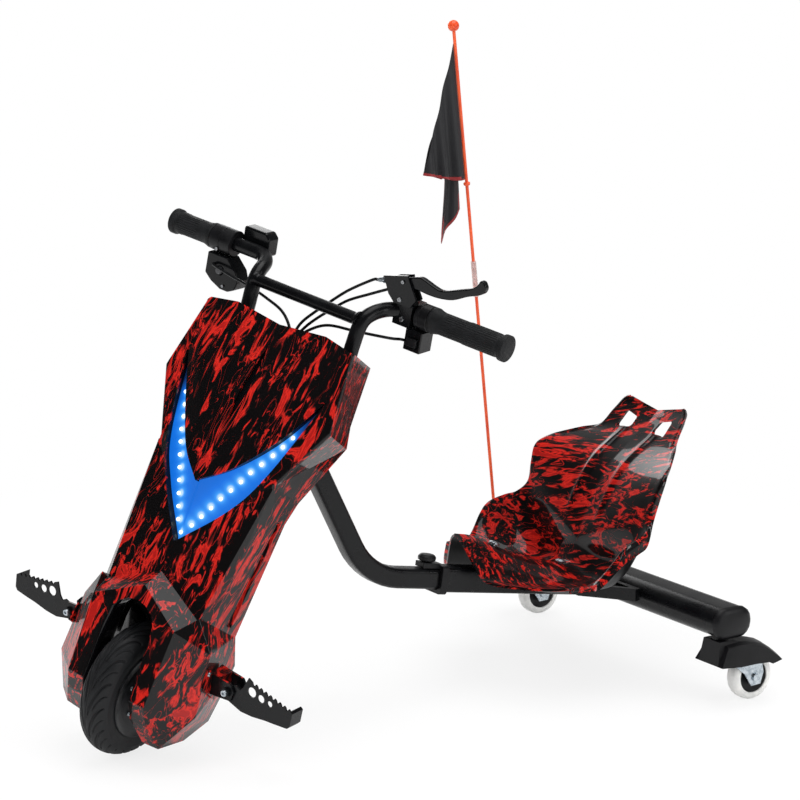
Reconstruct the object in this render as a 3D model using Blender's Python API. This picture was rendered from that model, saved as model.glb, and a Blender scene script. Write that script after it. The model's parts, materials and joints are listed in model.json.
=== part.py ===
"""A three-wheeled electric kart: a powered steering wheel in front, a low seat, two casters at the back.

Lengths are metres and angles degrees. +Z is up, the kart faces -Y, and +X is the rider's left.
Every piece is drawn where it sits with the bars straight ahead; the steering axis then turns the whole
front unit to the left, the way the kart stands.
"""

import math

import bmesh
import bpy
from mathutils import Matrix, Vector

# Gaps that keep neighbouring pieces apart
TOUCH_GAP = 0.0003
RUNNING_GAP = 0.0005
ROUND_SIDES = 20
WHEEL_SIDES = 36
BAR_SIDES = 12
CASTER_SIDES = 24

# The kart is drawn from the front wheel's contact point, and stands on the middle of its own footprint
FOOTPRINT_CENTRE_Y = 0.4390

# Steering
STEERING_AT_REST = 26.1
STEERING_RAKE = 30.7
STEERING_Y = 0.0495

# Front wheel
TYRE_RADIUS = 0.1015
# The wheel leans as it is steered, so its axle sits a little higher than the tyre's radius
LEAN_LIFT = 0.0003
AXLE_Y = 0.0
AXLE_Z = TYRE_RADIUS + LEAN_LIFT
TYRE_SECTION_RADIUS = 0.0254
TYRE_BEAD_ANGLE = 125.0
RIM_FLANGE_DEPTH = 0.0045
RIM_FLANGE_THICKNESS = 0.0027
HUB_BOSS_RADIUS = 0.012
HUB_BOSS_HALF_WIDTH = 0.034
AXLE_RADIUS = 0.006
AXLE_HALF_LENGTH = 0.088
AXLE_NUT_RADIUS = 0.011
AXLE_NUT_THICKNESS = 0.007

# Steering head and fork
HEAD_TUBE_RADIUS = 0.022
HEAD_TUBE_LENGTH = 0.080
HEAD_TUBE_CENTRE = 0.382
BEARING_RADIUS = 0.0175
BEARING_HEIGHT = 0.010
STEERER_RADIUS = 0.009
STEERER_HEAD_RADIUS = 0.015
STEERER_HEAD_HEIGHT = 0.008
YOKE_THICKNESS = 0.007
YOKE_ROUND_RADIUS = 0.024
YOKE_FRONT = -0.054
YOKE_ARM_BACK = -0.029
LEG_WIDTH = 0.026
LEG_WALL = 0.003
LEG_PATH = [
    (0.062, -0.0060, 0.0720), (0.062, 0.0260, 0.2000), (0.072, 0.1300, 0.3300),
    (0.092, 0.2250, 0.4700), (0.0965, 0.2430, 0.5200),
]

# Battery and controller: depth, height, width
PACK_LEAN = 0.435
PACK_SIZE = (0.052, 0.124, 0.124)
PACK_RISE = 0.106
CONTROLLER_SIZE = (0.040, 0.088, 0.080)

# Handlebar
BAR_RADIUS = 0.0111
BAR_WALL = 0.002
CROSSBAR_RADIUS = 0.0092
GRIP_AXIS_Y = 0.337
GRIP_AXIS_Z = 0.665
BAR_END_X = 0.300
RISER_PATH = [
    (0.0966, 0.2435, 0.5215), (0.0968, 0.2570, 0.5650), (0.0970, 0.2620, 0.5900), (0.0973, 0.2670, 0.6130),
    (0.0990, 0.2745, 0.6420), (0.1030, 0.2880, 0.6560), (0.1120, 0.3120, 0.6630), (0.1290, 0.3305, 0.6650),
    (0.1440, 0.3362, 0.6650), (0.1560, 0.3370, 0.6650),
]
CROSSBAR_Y, CROSSBAR_Z = RISER_PATH[4][1] - 0.0005, RISER_PATH[4][2] + 0.007
GRIP_RADIUS = 0.0170
GRIP_FLANGE_RADIUS = 0.0195
GRIP_OUTER_X = 0.310
COLLAR_INNER_X = 0.1575
COLLAR_OUTER_X = 0.1795
THROTTLE_INNER_X = 0.1875
THROTTLE_OUTER_X = 0.2280
HOUSING_RADIUS = 0.0200
CLAMP_INNER_X = 0.1225
CLAMP_OUTER_X = 0.1530
LEVER_Y = 0.322
LEVER_THICKNESS = 0.010
BRACKET_THICKNESS = 0.018
LEVER_PIVOT_X = 0.134
LEVER_PIVOT_Z = 0.712
LEVER_PIN_RADIUS = 0.0025
KEY_PROUD = 0.004
KEY_SEATED = 0.0025
KEY_TRAVEL = 0.002
HORN_BUTTON_RADIUS = 0.006
CABLE_RADIUS = 0.0022
CABLE_HOLE = (-0.004, 0.262)

# Shell of the front unit
SHELL_WALL = 0.003
LENS_SINK = 0.002
LENS_THICKNESS = 0.003

# Footpegs
PEG_HINGE_X = 0.1518
PEG_HINGE_Z = 0.1562
PEG_PIN_RADIUS = 0.004
PEG_FRONT = 0.016
PEG_CLEVIS_DEPTH = 0.032
PEG_EAR = 0.0035
PEG_PLATE = 0.003
PEG_SHEET = 0.0025

# Frame behind the steering head
RAIL_WIDTH = 0.034
RAIL_HEIGHT = 0.032
RAIL_WALL = 0.0025
RAIL_CORNER = 0.008
SLEEVE_WALL = 0.003
SLEEVE_CORNER = 0.006
RAIL_SLOPE = 0.160
RAIL_DATUM_Y = 0.454
RAIL_DATUM_Z = 0.196
RAIL_BEND_RADIUS = 0.110
RAIL_RISE_LEAN = 0.493
RAIL_RISE_Y = 0.356
RAIL_RISE_Z = 0.300
RAIL_OVERLAP = 0.150
SLEEVE_START = 0.088
COLLAR_LENGTH = 0.012
COLLAR_LIP = 0.003
CLAMP_FOOT_HEIGHT = 0.009
CROSS_Y = 0.880
CROSS_Z = 0.132
CROSS_DEPTH = 0.070
CROSS_HEIGHT = 0.048
CROSS_WALL = 0.0025
CROSS_HALF_LENGTH = 0.294
CAP_LENGTH = 0.010
WELD_BITE = 0.0012
GUSSET_RUN = 0.062
GUSSET_REACH = 0.086
GUSSET_WALL = 0.004
GUSSET_LOW = CROSS_Z - 0.006
GUSSET_HIGH = CROSS_Z + 0.014

# Casters
CASTER_X = CROSS_HALF_LENGTH - 0.012
CASTER_Y = 0.867
CASTER_TRAIL = 0.063
CASTER_RADIUS = 0.0375
CASTER_WIDTH = 0.024
CASTER_HUB_RADIUS = 0.026
CASTER_AXLE_RADIUS = 0.004
CASTER_STEM_RADIUS = 0.0115
CASTER_TOP_Z = 0.105
FORK_TOP_Z = 0.1005
FENDER_WALL = 0.003
NECK_HALF_LENGTH = 0.0135
NECK_SHARE = 0.70
FORK_PLATE = 0.0025

# Seat
SEAT_WALL = 0.004
SEAT_BOLT_RADIUS = 0.004
SEAT_BOLT_HEAD_RADIUS = 0.009
SEAT_BOLT_LIFT = 0.0006
RIDGE_HALF_WIDTH = 0.065
STAND_HALF_WIDTH = 0.013
STAND_FOOT_HEIGHT = 0.0045

# Flag
FLAG_X = 0.018 - CROSS_HALF_LENGTH
FLAG_LEAN = 0.1115
SOCKET_RADIUS = 0.006
FLAG_FOOT_Z = CROSS_Z
FLAG_FOOT_Y = CROSS_Y - CROSS_DEPTH / 2 - SOCKET_RADIUS * math.hypot(1, FLAG_LEAN) - TOUCH_GAP
POLE_RADIUS = 0.0027
POLE_JOINT_Z = 0.600
POLE_TOP_Z = 1.012
BALL_RADIUS = 0.0095
CLOTH_THICKNESS = 0.0012


def material(name, colour, roughness, metallic=0.0):
    """A Principled material from a hex colour."""
    made = bpy.data.materials.new(name)
    made.use_nodes = True
    channels = [int(colour[i:i + 2], 16) / 255 for i in (0, 2, 4)]
    linear = [c / 12.92 if c <= 0.04045 else ((c + 0.055) / 1.055) ** 2.4 for c in channels]
    shader = made.node_tree.nodes["Principled BSDF"]
    shader.inputs["Base Color"].default_value = (*linear, 1.0)
    shader.inputs["Roughness"].default_value = roughness
    shader.inputs["Metallic"].default_value = metallic
    return made


def clear_scene():
    """Remove every object of the open scene."""
    for thing in list(bpy.data.objects):
        bpy.data.objects.remove(thing, do_unlink=True)


def face_toward(bm, direction):
    """Give the faces of an open sheet one common side, the one that looks in a direction."""
    bmesh.ops.recalc_face_normals(bm, faces=bm.faces)
    total = sum((face.normal * face.calc_area() for face in bm.faces), Vector())
    if total.dot(Vector(direction)) < 0:
        bmesh.ops.reverse_faces(bm, faces=bm.faces)
    bm.normal_update()


def shell_object(name, bm, finish, parent, smooth=35.0, toward=None):
    """Make a named object from a bmesh that is drawn in the kart's straight-ahead frame."""
    bmesh.ops.remove_doubles(bm, verts=bm.verts, dist=1e-6)
    if toward:
        face_toward(bm, toward)
    else:
        bmesh.ops.recalc_face_normals(bm, faces=bm.faces)
    mesh = bpy.data.meshes.new(name)
    bm.to_mesh(mesh)
    bm.free()
    mesh.shade_smooth()
    mesh.set_sharp_from_angle(angle=math.radians(smooth))
    thing = bpy.data.objects.new(name, mesh)
    bpy.context.scene.collection.objects.link(thing)
    if finish:
        mesh.materials.append(finish)
    ride(thing, parent)
    return thing


def ride(thing, parent):
    """Parent an object and keep it where it was drawn."""
    thing.parent = parent
    thing.matrix_parent_inverse = straight_pose[parent.name].inverted()


def axis_empty(name, place, direction, parent, turned=0.0):
    """An empty on a joint's axis: local Z runs along the axis, and the rest pose may be turned about it."""
    empty = bpy.data.objects.new(name, None)
    bpy.context.scene.collection.objects.link(empty)
    empty.empty_display_size = 0.03
    pose = Matrix.Translation(place) @ Vector(direction).to_track_quat("Z", "Y").to_matrix().to_4x4()
    straight_pose[name] = pose
    if parent:
        ride(empty, parent)
    empty.matrix_basis = pose @ Matrix.Rotation(math.radians(turned), 4, "Z")
    return empty


def hide_cutter(thing):
    """Mark an object as a cutter."""
    thing.hide_render = True
    thing.display_type = "WIRE"


def cut(target, cutter, operation="DIFFERENCE"):
    """Cut one object with another, or weld it on."""
    hide_cutter(cutter)
    modifier = target.modifiers.new(cutter.name, "BOOLEAN")
    modifier.operation = operation
    modifier.solver = "EXACT"
    modifier.object = cutter


def loft(rings, closed=True):
    """Skin rings of equal length; the first and last ring are capped."""
    bm = bmesh.new()
    layers = [[bm.verts.new(p) for p in ring] for ring in rings]
    count = len(rings[0])
    for lower, upper in zip(layers, layers[1:]):
        for i in range(count):
            j = (i + 1) % count
            bm.faces.new((lower[i], lower[j], upper[j], upper[i]))
    if closed:
        bm.faces.new(layers[0][::-1])
        bm.faces.new(layers[-1])
    return bm


def prism(outline, axis, low, high):
    """Extrude a flat outline along X, Y or Z; its points are the other two coordinates in order."""
    def place(a, b, depth):
        return {"X": (depth, a, b), "Y": (a, depth, b), "Z": (a, b, depth)}[axis]
    return loft([[place(a, b, low) for a, b in outline], [place(a, b, high) for a, b in outline]])


def block(low, high):
    """A box between two corners."""
    outline = [(low[0], low[1]), (high[0], low[1]), (high[0], high[1]), (low[0], high[1])]
    return prism(outline, "Z", low[2], high[2])


def frame_along(direction):
    """Two unit vectors square to a direction."""
    forward = Vector(direction).normalized()
    side = Vector((1, 0, 0)) if abs(forward.x) < 0.9 else Vector((0, 1, 0))
    up = forward.cross(side).normalized()
    return up.cross(forward).normalized(), up, forward


def turned(profile, centre, direction, sides=ROUND_SIDES):
    """Turn a closed profile of (radius, distance along the axis) about an axis."""
    side, up, forward = frame_along(direction)
    centre = Vector(centre)
    bm = bmesh.new()
    rings = []
    for radius, along in profile:
        if radius < 1e-7:
            rings.append([bm.verts.new(centre + forward * along)])
            continue
        steps = [2 * math.pi * k / sides for k in range(sides)]
        rings.append([
            bm.verts.new(centre + forward * along + (side * math.cos(a) + up * math.sin(a)) * radius)
            for a in steps
        ])
    pairs = list(zip(rings, rings[1:] + rings[:1]))
    for first, second in pairs:
        for k in range(sides):
            m = (k + 1) % sides
            corners = [
                first[k % len(first)], first[m % len(first)], second[m % len(second)], second[k % len(second)],
            ]
            unique = list(dict.fromkeys(corners))
            if len(unique) > 2:
                bm.faces.new(unique)
    return bm


def rod(start, end, radius, sides=ROUND_SIDES):
    """A solid cylinder between two points."""
    start, end = Vector(start), Vector(end)
    length = (end - start).length
    return turned([(0, 0), (radius, 0), (radius, length), (0, length)], start, end - start, sides)


def ring_bar(start, end, outer, inner, sides=ROUND_SIDES):
    """A cylinder with a bore between two points."""
    start, end = Vector(start), Vector(end)
    length = (end - start).length
    return turned([(inner, 0), (outer, 0), (outer, length), (inner, length)], start, end - start, sides)


def round_section(radius, sides):
    """A circle's points for a swept tube."""
    return [
        (radius * math.cos(2 * math.pi * k / sides), radius * math.sin(2 * math.pi * k / sides))
        for k in range(sides)
    ]


def box_section(width, height, corner, steps=3):
    """A rectangle with rounded corners for a swept tube."""
    points = []
    for quarter, (sx, sy) in enumerate([(1, 1), (-1, 1), (-1, -1), (1, -1)]):
        for k in range(steps + 1):
            angle = math.radians(90 * quarter + 90 * k / steps)
            points.append((
                sx * (width / 2 - corner) + corner * math.cos(angle),
                sy * (height / 2 - corner) + corner * math.sin(angle),
            ))
    return points


def swept(path, section, bore=None):
    """Sweep a section along a path without twist; a bore leaves a tube that is open at both ends."""
    path = [Vector(p) for p in path]
    steps = [(b - a).normalized() for a, b in zip(path, path[1:])]
    tangents = [steps[0]] + [(a + b).normalized() for a, b in zip(steps, steps[1:])] + [steps[-1]]
    side, up, forward = frame_along(tangents[0])
    outer, inner = [], []
    for index, point in enumerate(path):
        if index:
            turn = tangents[index - 1].rotation_difference(tangents[index])
            side, up = turn @ side, turn @ up
        stretch = 1.0
        if 0 < index < len(path) - 1:
            stretch = 1.0 / max(0.5, steps[index - 1].dot(tangents[index]))
        bend = Vector((0, 0, 0))
        if stretch > 1.0:
            bend = (steps[index] - steps[index - 1]).normalized()
        for points, rings in ((section, outer), (bore, inner)):
            if points is None:
                continue
            ring = []
            for a, b in points:
                offset = side * a + up * b
                offset += bend * offset.dot(bend) * (stretch - 1.0)
                ring.append(point + offset)
            rings.append(ring)
    if bore is None:
        return loft(outer)
    bm = loft(outer, closed=False)
    other = loft([ring[::-1] for ring in inner], closed=False)
    mesh = bpy.data.meshes.new("bore")
    other.to_mesh(mesh)
    other.free()
    bm.from_mesh(mesh)
    bpy.data.meshes.remove(mesh)
    bm.verts.ensure_lookup_table()
    count = len(section)
    total = len(outer) * count
    for layer, flip in ((0, False), (len(outer) - 1, True)):
        for k in range(count):
            m = (k + 1) % count
            a, b = bm.verts[layer * count + k], bm.verts[layer * count + m]
            c = bm.verts[total + layer * count + (count - 1 - m)]
            d = bm.verts[total + layer * count + (count - 1 - k)]
            face = (a, b, c, d) if flip else (d, c, b, a)
            bm.faces.new(face)
    return bm


def smooth_path(points, pieces):
    """A smooth curve through the points, read at even steps of its parameter."""
    points = [Vector(p) for p in points]
    padded = [points[0] * 2 - points[1]] + points + [points[-1] * 2 - points[-2]]
    out = []
    for i in range(1, len(padded) - 2):
        a, b, c, d = padded[i - 1:i + 3]
        for k in range(pieces):
            t = k / pieces
            out.append(0.5 * (
                2 * b + (c - a) * t + (2 * a - 5 * b + 4 * c - d) * t * t + (3 * b - a - 3 * c + d) * t ** 3
            ))
    out.append(points[-1])
    return out


def mirrored(points, side):
    """Flip a list of points to the chosen side of the kart."""
    return [(side * x, y, z) for x, y, z in points]


def steering_point(along, back=0.0, x=0.0):
    """A point given along the steering axis, square behind it, and across the kart."""
    rake = math.radians(STEERING_RAKE)
    return Vector((
        x,
        STEERING_Y + along * math.sin(rake) + back * math.cos(rake),
        TYRE_RADIUS + along * math.cos(rake) - back * math.sin(rake),
    ))


def axis_prism(outline, low, high):
    """Extrude an outline of (across, back) points along the steering axis."""
    return loft([[steering_point(level, back, x) for x, back in outline] for level in (low, high)])


def rail_point(along, up=0.0, x=0.0):
    """A point on the frame rail: distance backwards along it from the datum, and height square to it."""
    angle = math.atan(RAIL_SLOPE)
    return Vector((
        x,
        RAIL_DATUM_Y + along * math.cos(angle) + up * math.sin(angle),
        RAIL_DATUM_Z - along * math.sin(angle) + up * math.cos(angle),
    ))


def rail_prism(outline, start, end):
    """Extrude an outline of (across, up) points along the frame rail."""
    return loft([[rail_point(level, up, x) for x, up in outline] for level in (start, end)])


def flag_point(z, forward=0.0, x=0.0):
    """A point beside the flag pole at a height."""
    return Vector((FLAG_X + x, FLAG_FOOT_Y - FLAG_LEAN * (z - FLAG_FOOT_Z) - forward, z))


def cable(name, route, radius, finish, parent):
    """A cable that the kart holds all the way: a round curve through its own route."""
    points = smooth_path(route, 3)
    curve = bpy.data.curves.new(name, "CURVE")
    curve.dimensions = "3D"
    curve.bevel_depth = radius
    curve.bevel_resolution = 2
    curve.use_fill_caps = True
    spline = curve.splines.new("POLY")
    spline.points.add(len(points) - 1)
    for slot, point in zip(spline.points, points):
        slot.co = (*point, 1.0)
    curve.materials.append(finish)
    thing = bpy.data.objects.new(name, curve)
    bpy.context.scene.collection.objects.link(thing)
    ride(thing, parent)
    return thing


clear_scene()
straight_pose = {}

gloss_shell = material("gloss_shell", "3a0f0e", 0.18)
satin_black = material("satin_black_steel", "17181a", 0.42, 0.3)
black_plastic = material("black_plastic", "1b1c1e", 0.5)
rubber = material("black_rubber", "1a1a1b", 0.8)
tyre_rubber = material("tyre_rubber", "1e1e1f", 0.85)
zinc = material("zinc_plate", "b9bec2", 0.3, 0.9)
alloy = material("machined_alloy", "a7a9ab", 0.35, 0.9)
lens_blue = material("lens_blue", "0a5fd8", 0.15)
white_wheel = material("white_urethane", "e6e6e2", 0.4)
fibre_orange = material("orange_fibreglass", "e8502a", 0.4)
clear_sleeve = material("clear_sleeve", "e6b7b0", 0.25)
flag_black = material("flag_polyester", "17171a", 0.8)
pack_blue = material("battery_wrap", "23406b", 0.5)
pale_key = material("pale_key", "c8cacc", 0.4)

kart = axis_empty("kart", (0, 0, 0), (0, 0, 1), None)
kart.location.y = -FOOTPRINT_CENTRE_Y
rail_direction = rail_point(1.0) - rail_point(0.0)
length_adjust = axis_empty("length_adjust", rail_point(SLEEVE_START), -rail_direction, kart)
steering = axis_empty(
    "steering", steering_point(HEAD_TUBE_CENTRE), steering_point(1.0) - steering_point(0.0),
    length_adjust, STEERING_AT_REST,
)
front_wheel = axis_empty("front_wheel_spin", (0, AXLE_Y, AXLE_Z), (1, 0, 0), steering)


# Front tyre, rim and axle

def front_wheel_pieces():
    """Tyre on its rim with the hub motor, turning on a fixed axle."""
    ring_radius = TYRE_RADIUS - TYRE_SECTION_RADIUS
    bead = math.radians(TYRE_BEAD_ANGLE)
    bead_radius = ring_radius + TYRE_SECTION_RADIUS * math.cos(bead)
    bead_half_width = TYRE_SECTION_RADIUS * math.sin(bead)
    steps = 12
    section = []
    for k in range(steps + 1):
        angle = -bead + 2 * bead * k / steps
        section.append((
            ring_radius + TYRE_SECTION_RADIUS * math.cos(angle),
            TYRE_SECTION_RADIUS * math.sin(angle),
        ))
    centre = (0, AXLE_Y, AXLE_Z)
    shell_object("front_tyre", turned(section, centre, (1, 0, 0), WHEEL_SIDES), tyre_rubber, front_wheel)

    seat_radius = bead_radius - TOUCH_GAP
    flange_radius = seat_radius + RIM_FLANGE_DEPTH
    drop = ring_radius - flange_radius
    flange_in = math.sqrt(TYRE_SECTION_RADIUS ** 2 - drop ** 2) + TOUCH_GAP
    flange_out = flange_in + RIM_FLANGE_THICKNESS
    half = [
        (AXLE_RADIUS + RUNNING_GAP, HUB_BOSS_HALF_WIDTH),
        (HUB_BOSS_RADIUS, HUB_BOSS_HALF_WIDTH),
        (HUB_BOSS_RADIUS, HUB_BOSS_HALF_WIDTH - 0.006),
        (0.022, bead_half_width + 0.004),
        (0.050, bead_half_width),
        (flange_radius, flange_out),
        (flange_radius, flange_in),
        (seat_radius, flange_in),
    ]
    profile = [(r, -x) for r, x in half] + half[::-1]
    shell_object("hub_motor", turned(profile, centre, (1, 0, 0), WHEEL_SIDES), alloy, front_wheel)

    side_x = AXLE_HALF_LENGTH
    axle = rod((-side_x, AXLE_Y, AXLE_Z), (side_x, AXLE_Y, AXLE_Z), AXLE_RADIUS)
    front_axle = shell_object("front_axle", axle, zinc, steering)
    leg_face = LEG_PATH[0][0] + LEG_WIDTH / 2 + TOUCH_GAP
    for side, word in ((1, "left"), (-1, "right")):
        start = (side * leg_face, AXLE_Y, AXLE_Z)
        end = (side * (leg_face + AXLE_NUT_THICKNESS), AXLE_Y, AXLE_Z)
        nut = shell_object(f"weld_nut_{word}", rod(start, end, AXLE_NUT_RADIUS, 6), None, steering)
        cut(front_axle, nut, "UNION")


# Fork and steering head

def fork_pieces():
    """Two bent legs, two yokes and the pin that carries them in the head tube."""
    outer = box_section(LEG_WIDTH, LEG_WIDTH, 0.005, 2)
    inner = box_section(LEG_WIDTH - 2 * LEG_WALL, LEG_WIDTH - 2 * LEG_WALL, 0.002, 2)
    for side, word in ((1, "left"), (-1, "right")):
        path = mirrored(LEG_PATH, side)
        leg = shell_object(f"fork_leg_{word}", swept(path, outer, inner), satin_black, steering)
        hole = rod(
            (side * 0.02, AXLE_Y, AXLE_Z), (side * 0.12, AXLE_Y, AXLE_Z), AXLE_RADIUS + TOUCH_GAP,
        )
        cut(leg, shell_object(f"cut_axle_{word}", hole, None, steering))

    head_low = HEAD_TUBE_CENTRE - HEAD_TUBE_LENGTH / 2
    head_high = HEAD_TUBE_CENTRE + HEAD_TUBE_LENGTH / 2
    pin_ends = steering_point(head_low - 0.06), steering_point(head_high + 0.06)
    pin_hole = rod(*pin_ends, STEERER_RADIUS + TOUCH_GAP)
    pin_cutter = shell_object("cut_steerer", pin_hole, None, steering)
    levels = {
        "lower": (head_low - RUNNING_GAP - YOKE_THICKNESS, 0.0698),
        "upper": (head_high + RUNNING_GAP, 0.0796),
    }
    yokes = {}
    for word, (level, reach) in levels.items():
        arc = [
            (YOKE_ROUND_RADIUS * math.sin(math.radians(a)), YOKE_ROUND_RADIUS * math.cos(math.radians(a)))
            for a in range(-90, 91, 15)
        ]
        outline = [(-reach, YOKE_FRONT), (reach, YOKE_FRONT), (reach, YOKE_ARM_BACK)]
        outline += arc[::-1] + [(-reach, YOKE_ARM_BACK)]
        plate = axis_prism(outline, level, level + YOKE_THICKNESS)
        yokes[word] = shell_object(f"{word}_yoke", plate, satin_black, steering)

    bottom = levels["lower"][0] - TOUCH_GAP / 2
    top = levels["upper"][0] + YOKE_THICKNESS + TOUCH_GAP
    profile = [
        (0, bottom - STEERER_HEAD_HEIGHT), (STEERER_HEAD_RADIUS, bottom - STEERER_HEAD_HEIGHT),
        (STEERER_HEAD_RADIUS, bottom), (STEERER_RADIUS, bottom), (STEERER_RADIUS, top),
        (STEERER_HEAD_RADIUS, top), (STEERER_HEAD_RADIUS, top + STEERER_HEAD_HEIGHT),
        (0, top + STEERER_HEAD_HEIGHT),
    ]
    direction = steering_point(1.0) - steering_point(0.0)
    pin = shell_object("weld_steerer", turned(profile, steering_point(0.0), direction), None, steering)
    cut(yokes["lower"], pin, "UNION")
    cut(yokes["upper"], pin_cutter)

    head = ring_bar(
        steering_point(head_low), steering_point(head_high), HEAD_TUBE_RADIUS, BEARING_RADIUS + TOUCH_GAP,
    )
    shell_object("head_tube", head, satin_black, length_adjust)
    for word, level in (("lower", head_low), ("upper", head_high - BEARING_HEIGHT)):
        race = ring_bar(
            steering_point(level), steering_point(level + BEARING_HEIGHT),
            BEARING_RADIUS, STEERER_RADIUS + RUNNING_GAP,
        )
        shell_object(f"{word}_bearing", race, alloy, length_adjust)


# Frame rail

def rail_path():
    """The inner rail's centre line: up from the sleeve, round one bend, and up to the head tube."""
    run = Vector((0, math.cos(math.atan(RAIL_SLOPE)), -math.sin(math.atan(RAIL_SLOPE))))
    rise = Vector((0, -RAIL_RISE_LEAN, 1)).normalized()
    y = (RAIL_RISE_Y + RAIL_RISE_LEAN * (RAIL_RISE_Z - RAIL_DATUM_Z - RAIL_SLOPE * RAIL_DATUM_Y))
    y /= 1 - RAIL_RISE_LEAN * RAIL_SLOPE
    corner = Vector((0, y, RAIL_DATUM_Z - RAIL_SLOPE * (y - RAIL_DATUM_Y)))
    sweep = run.angle(rise)
    turn = math.pi - sweep
    reach = RAIL_BEND_RADIUS * math.tan(turn / 2)
    start = corner + run * reach
    inward = Vector((0, run.z, -run.y)) * -1
    if inward.dot(rise) < 0:
        inward = -inward
    centre = start + inward * RAIL_BEND_RADIUS
    points = [rail_point(SLEEVE_START + RAIL_OVERLAP)]
    steps = 8
    for k in range(steps + 1):
        turn_by = Matrix.Rotation(-turn * k / steps, 3, "X")
        points.append(centre + turn_by @ (start - centre))
    axis_gap = steering_point(HEAD_TUBE_CENTRE + 0.02)
    lift = (axis_gap.z - points[-1].z) / rise.z
    points.append(points[-1] + rise * lift)
    return points


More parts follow.
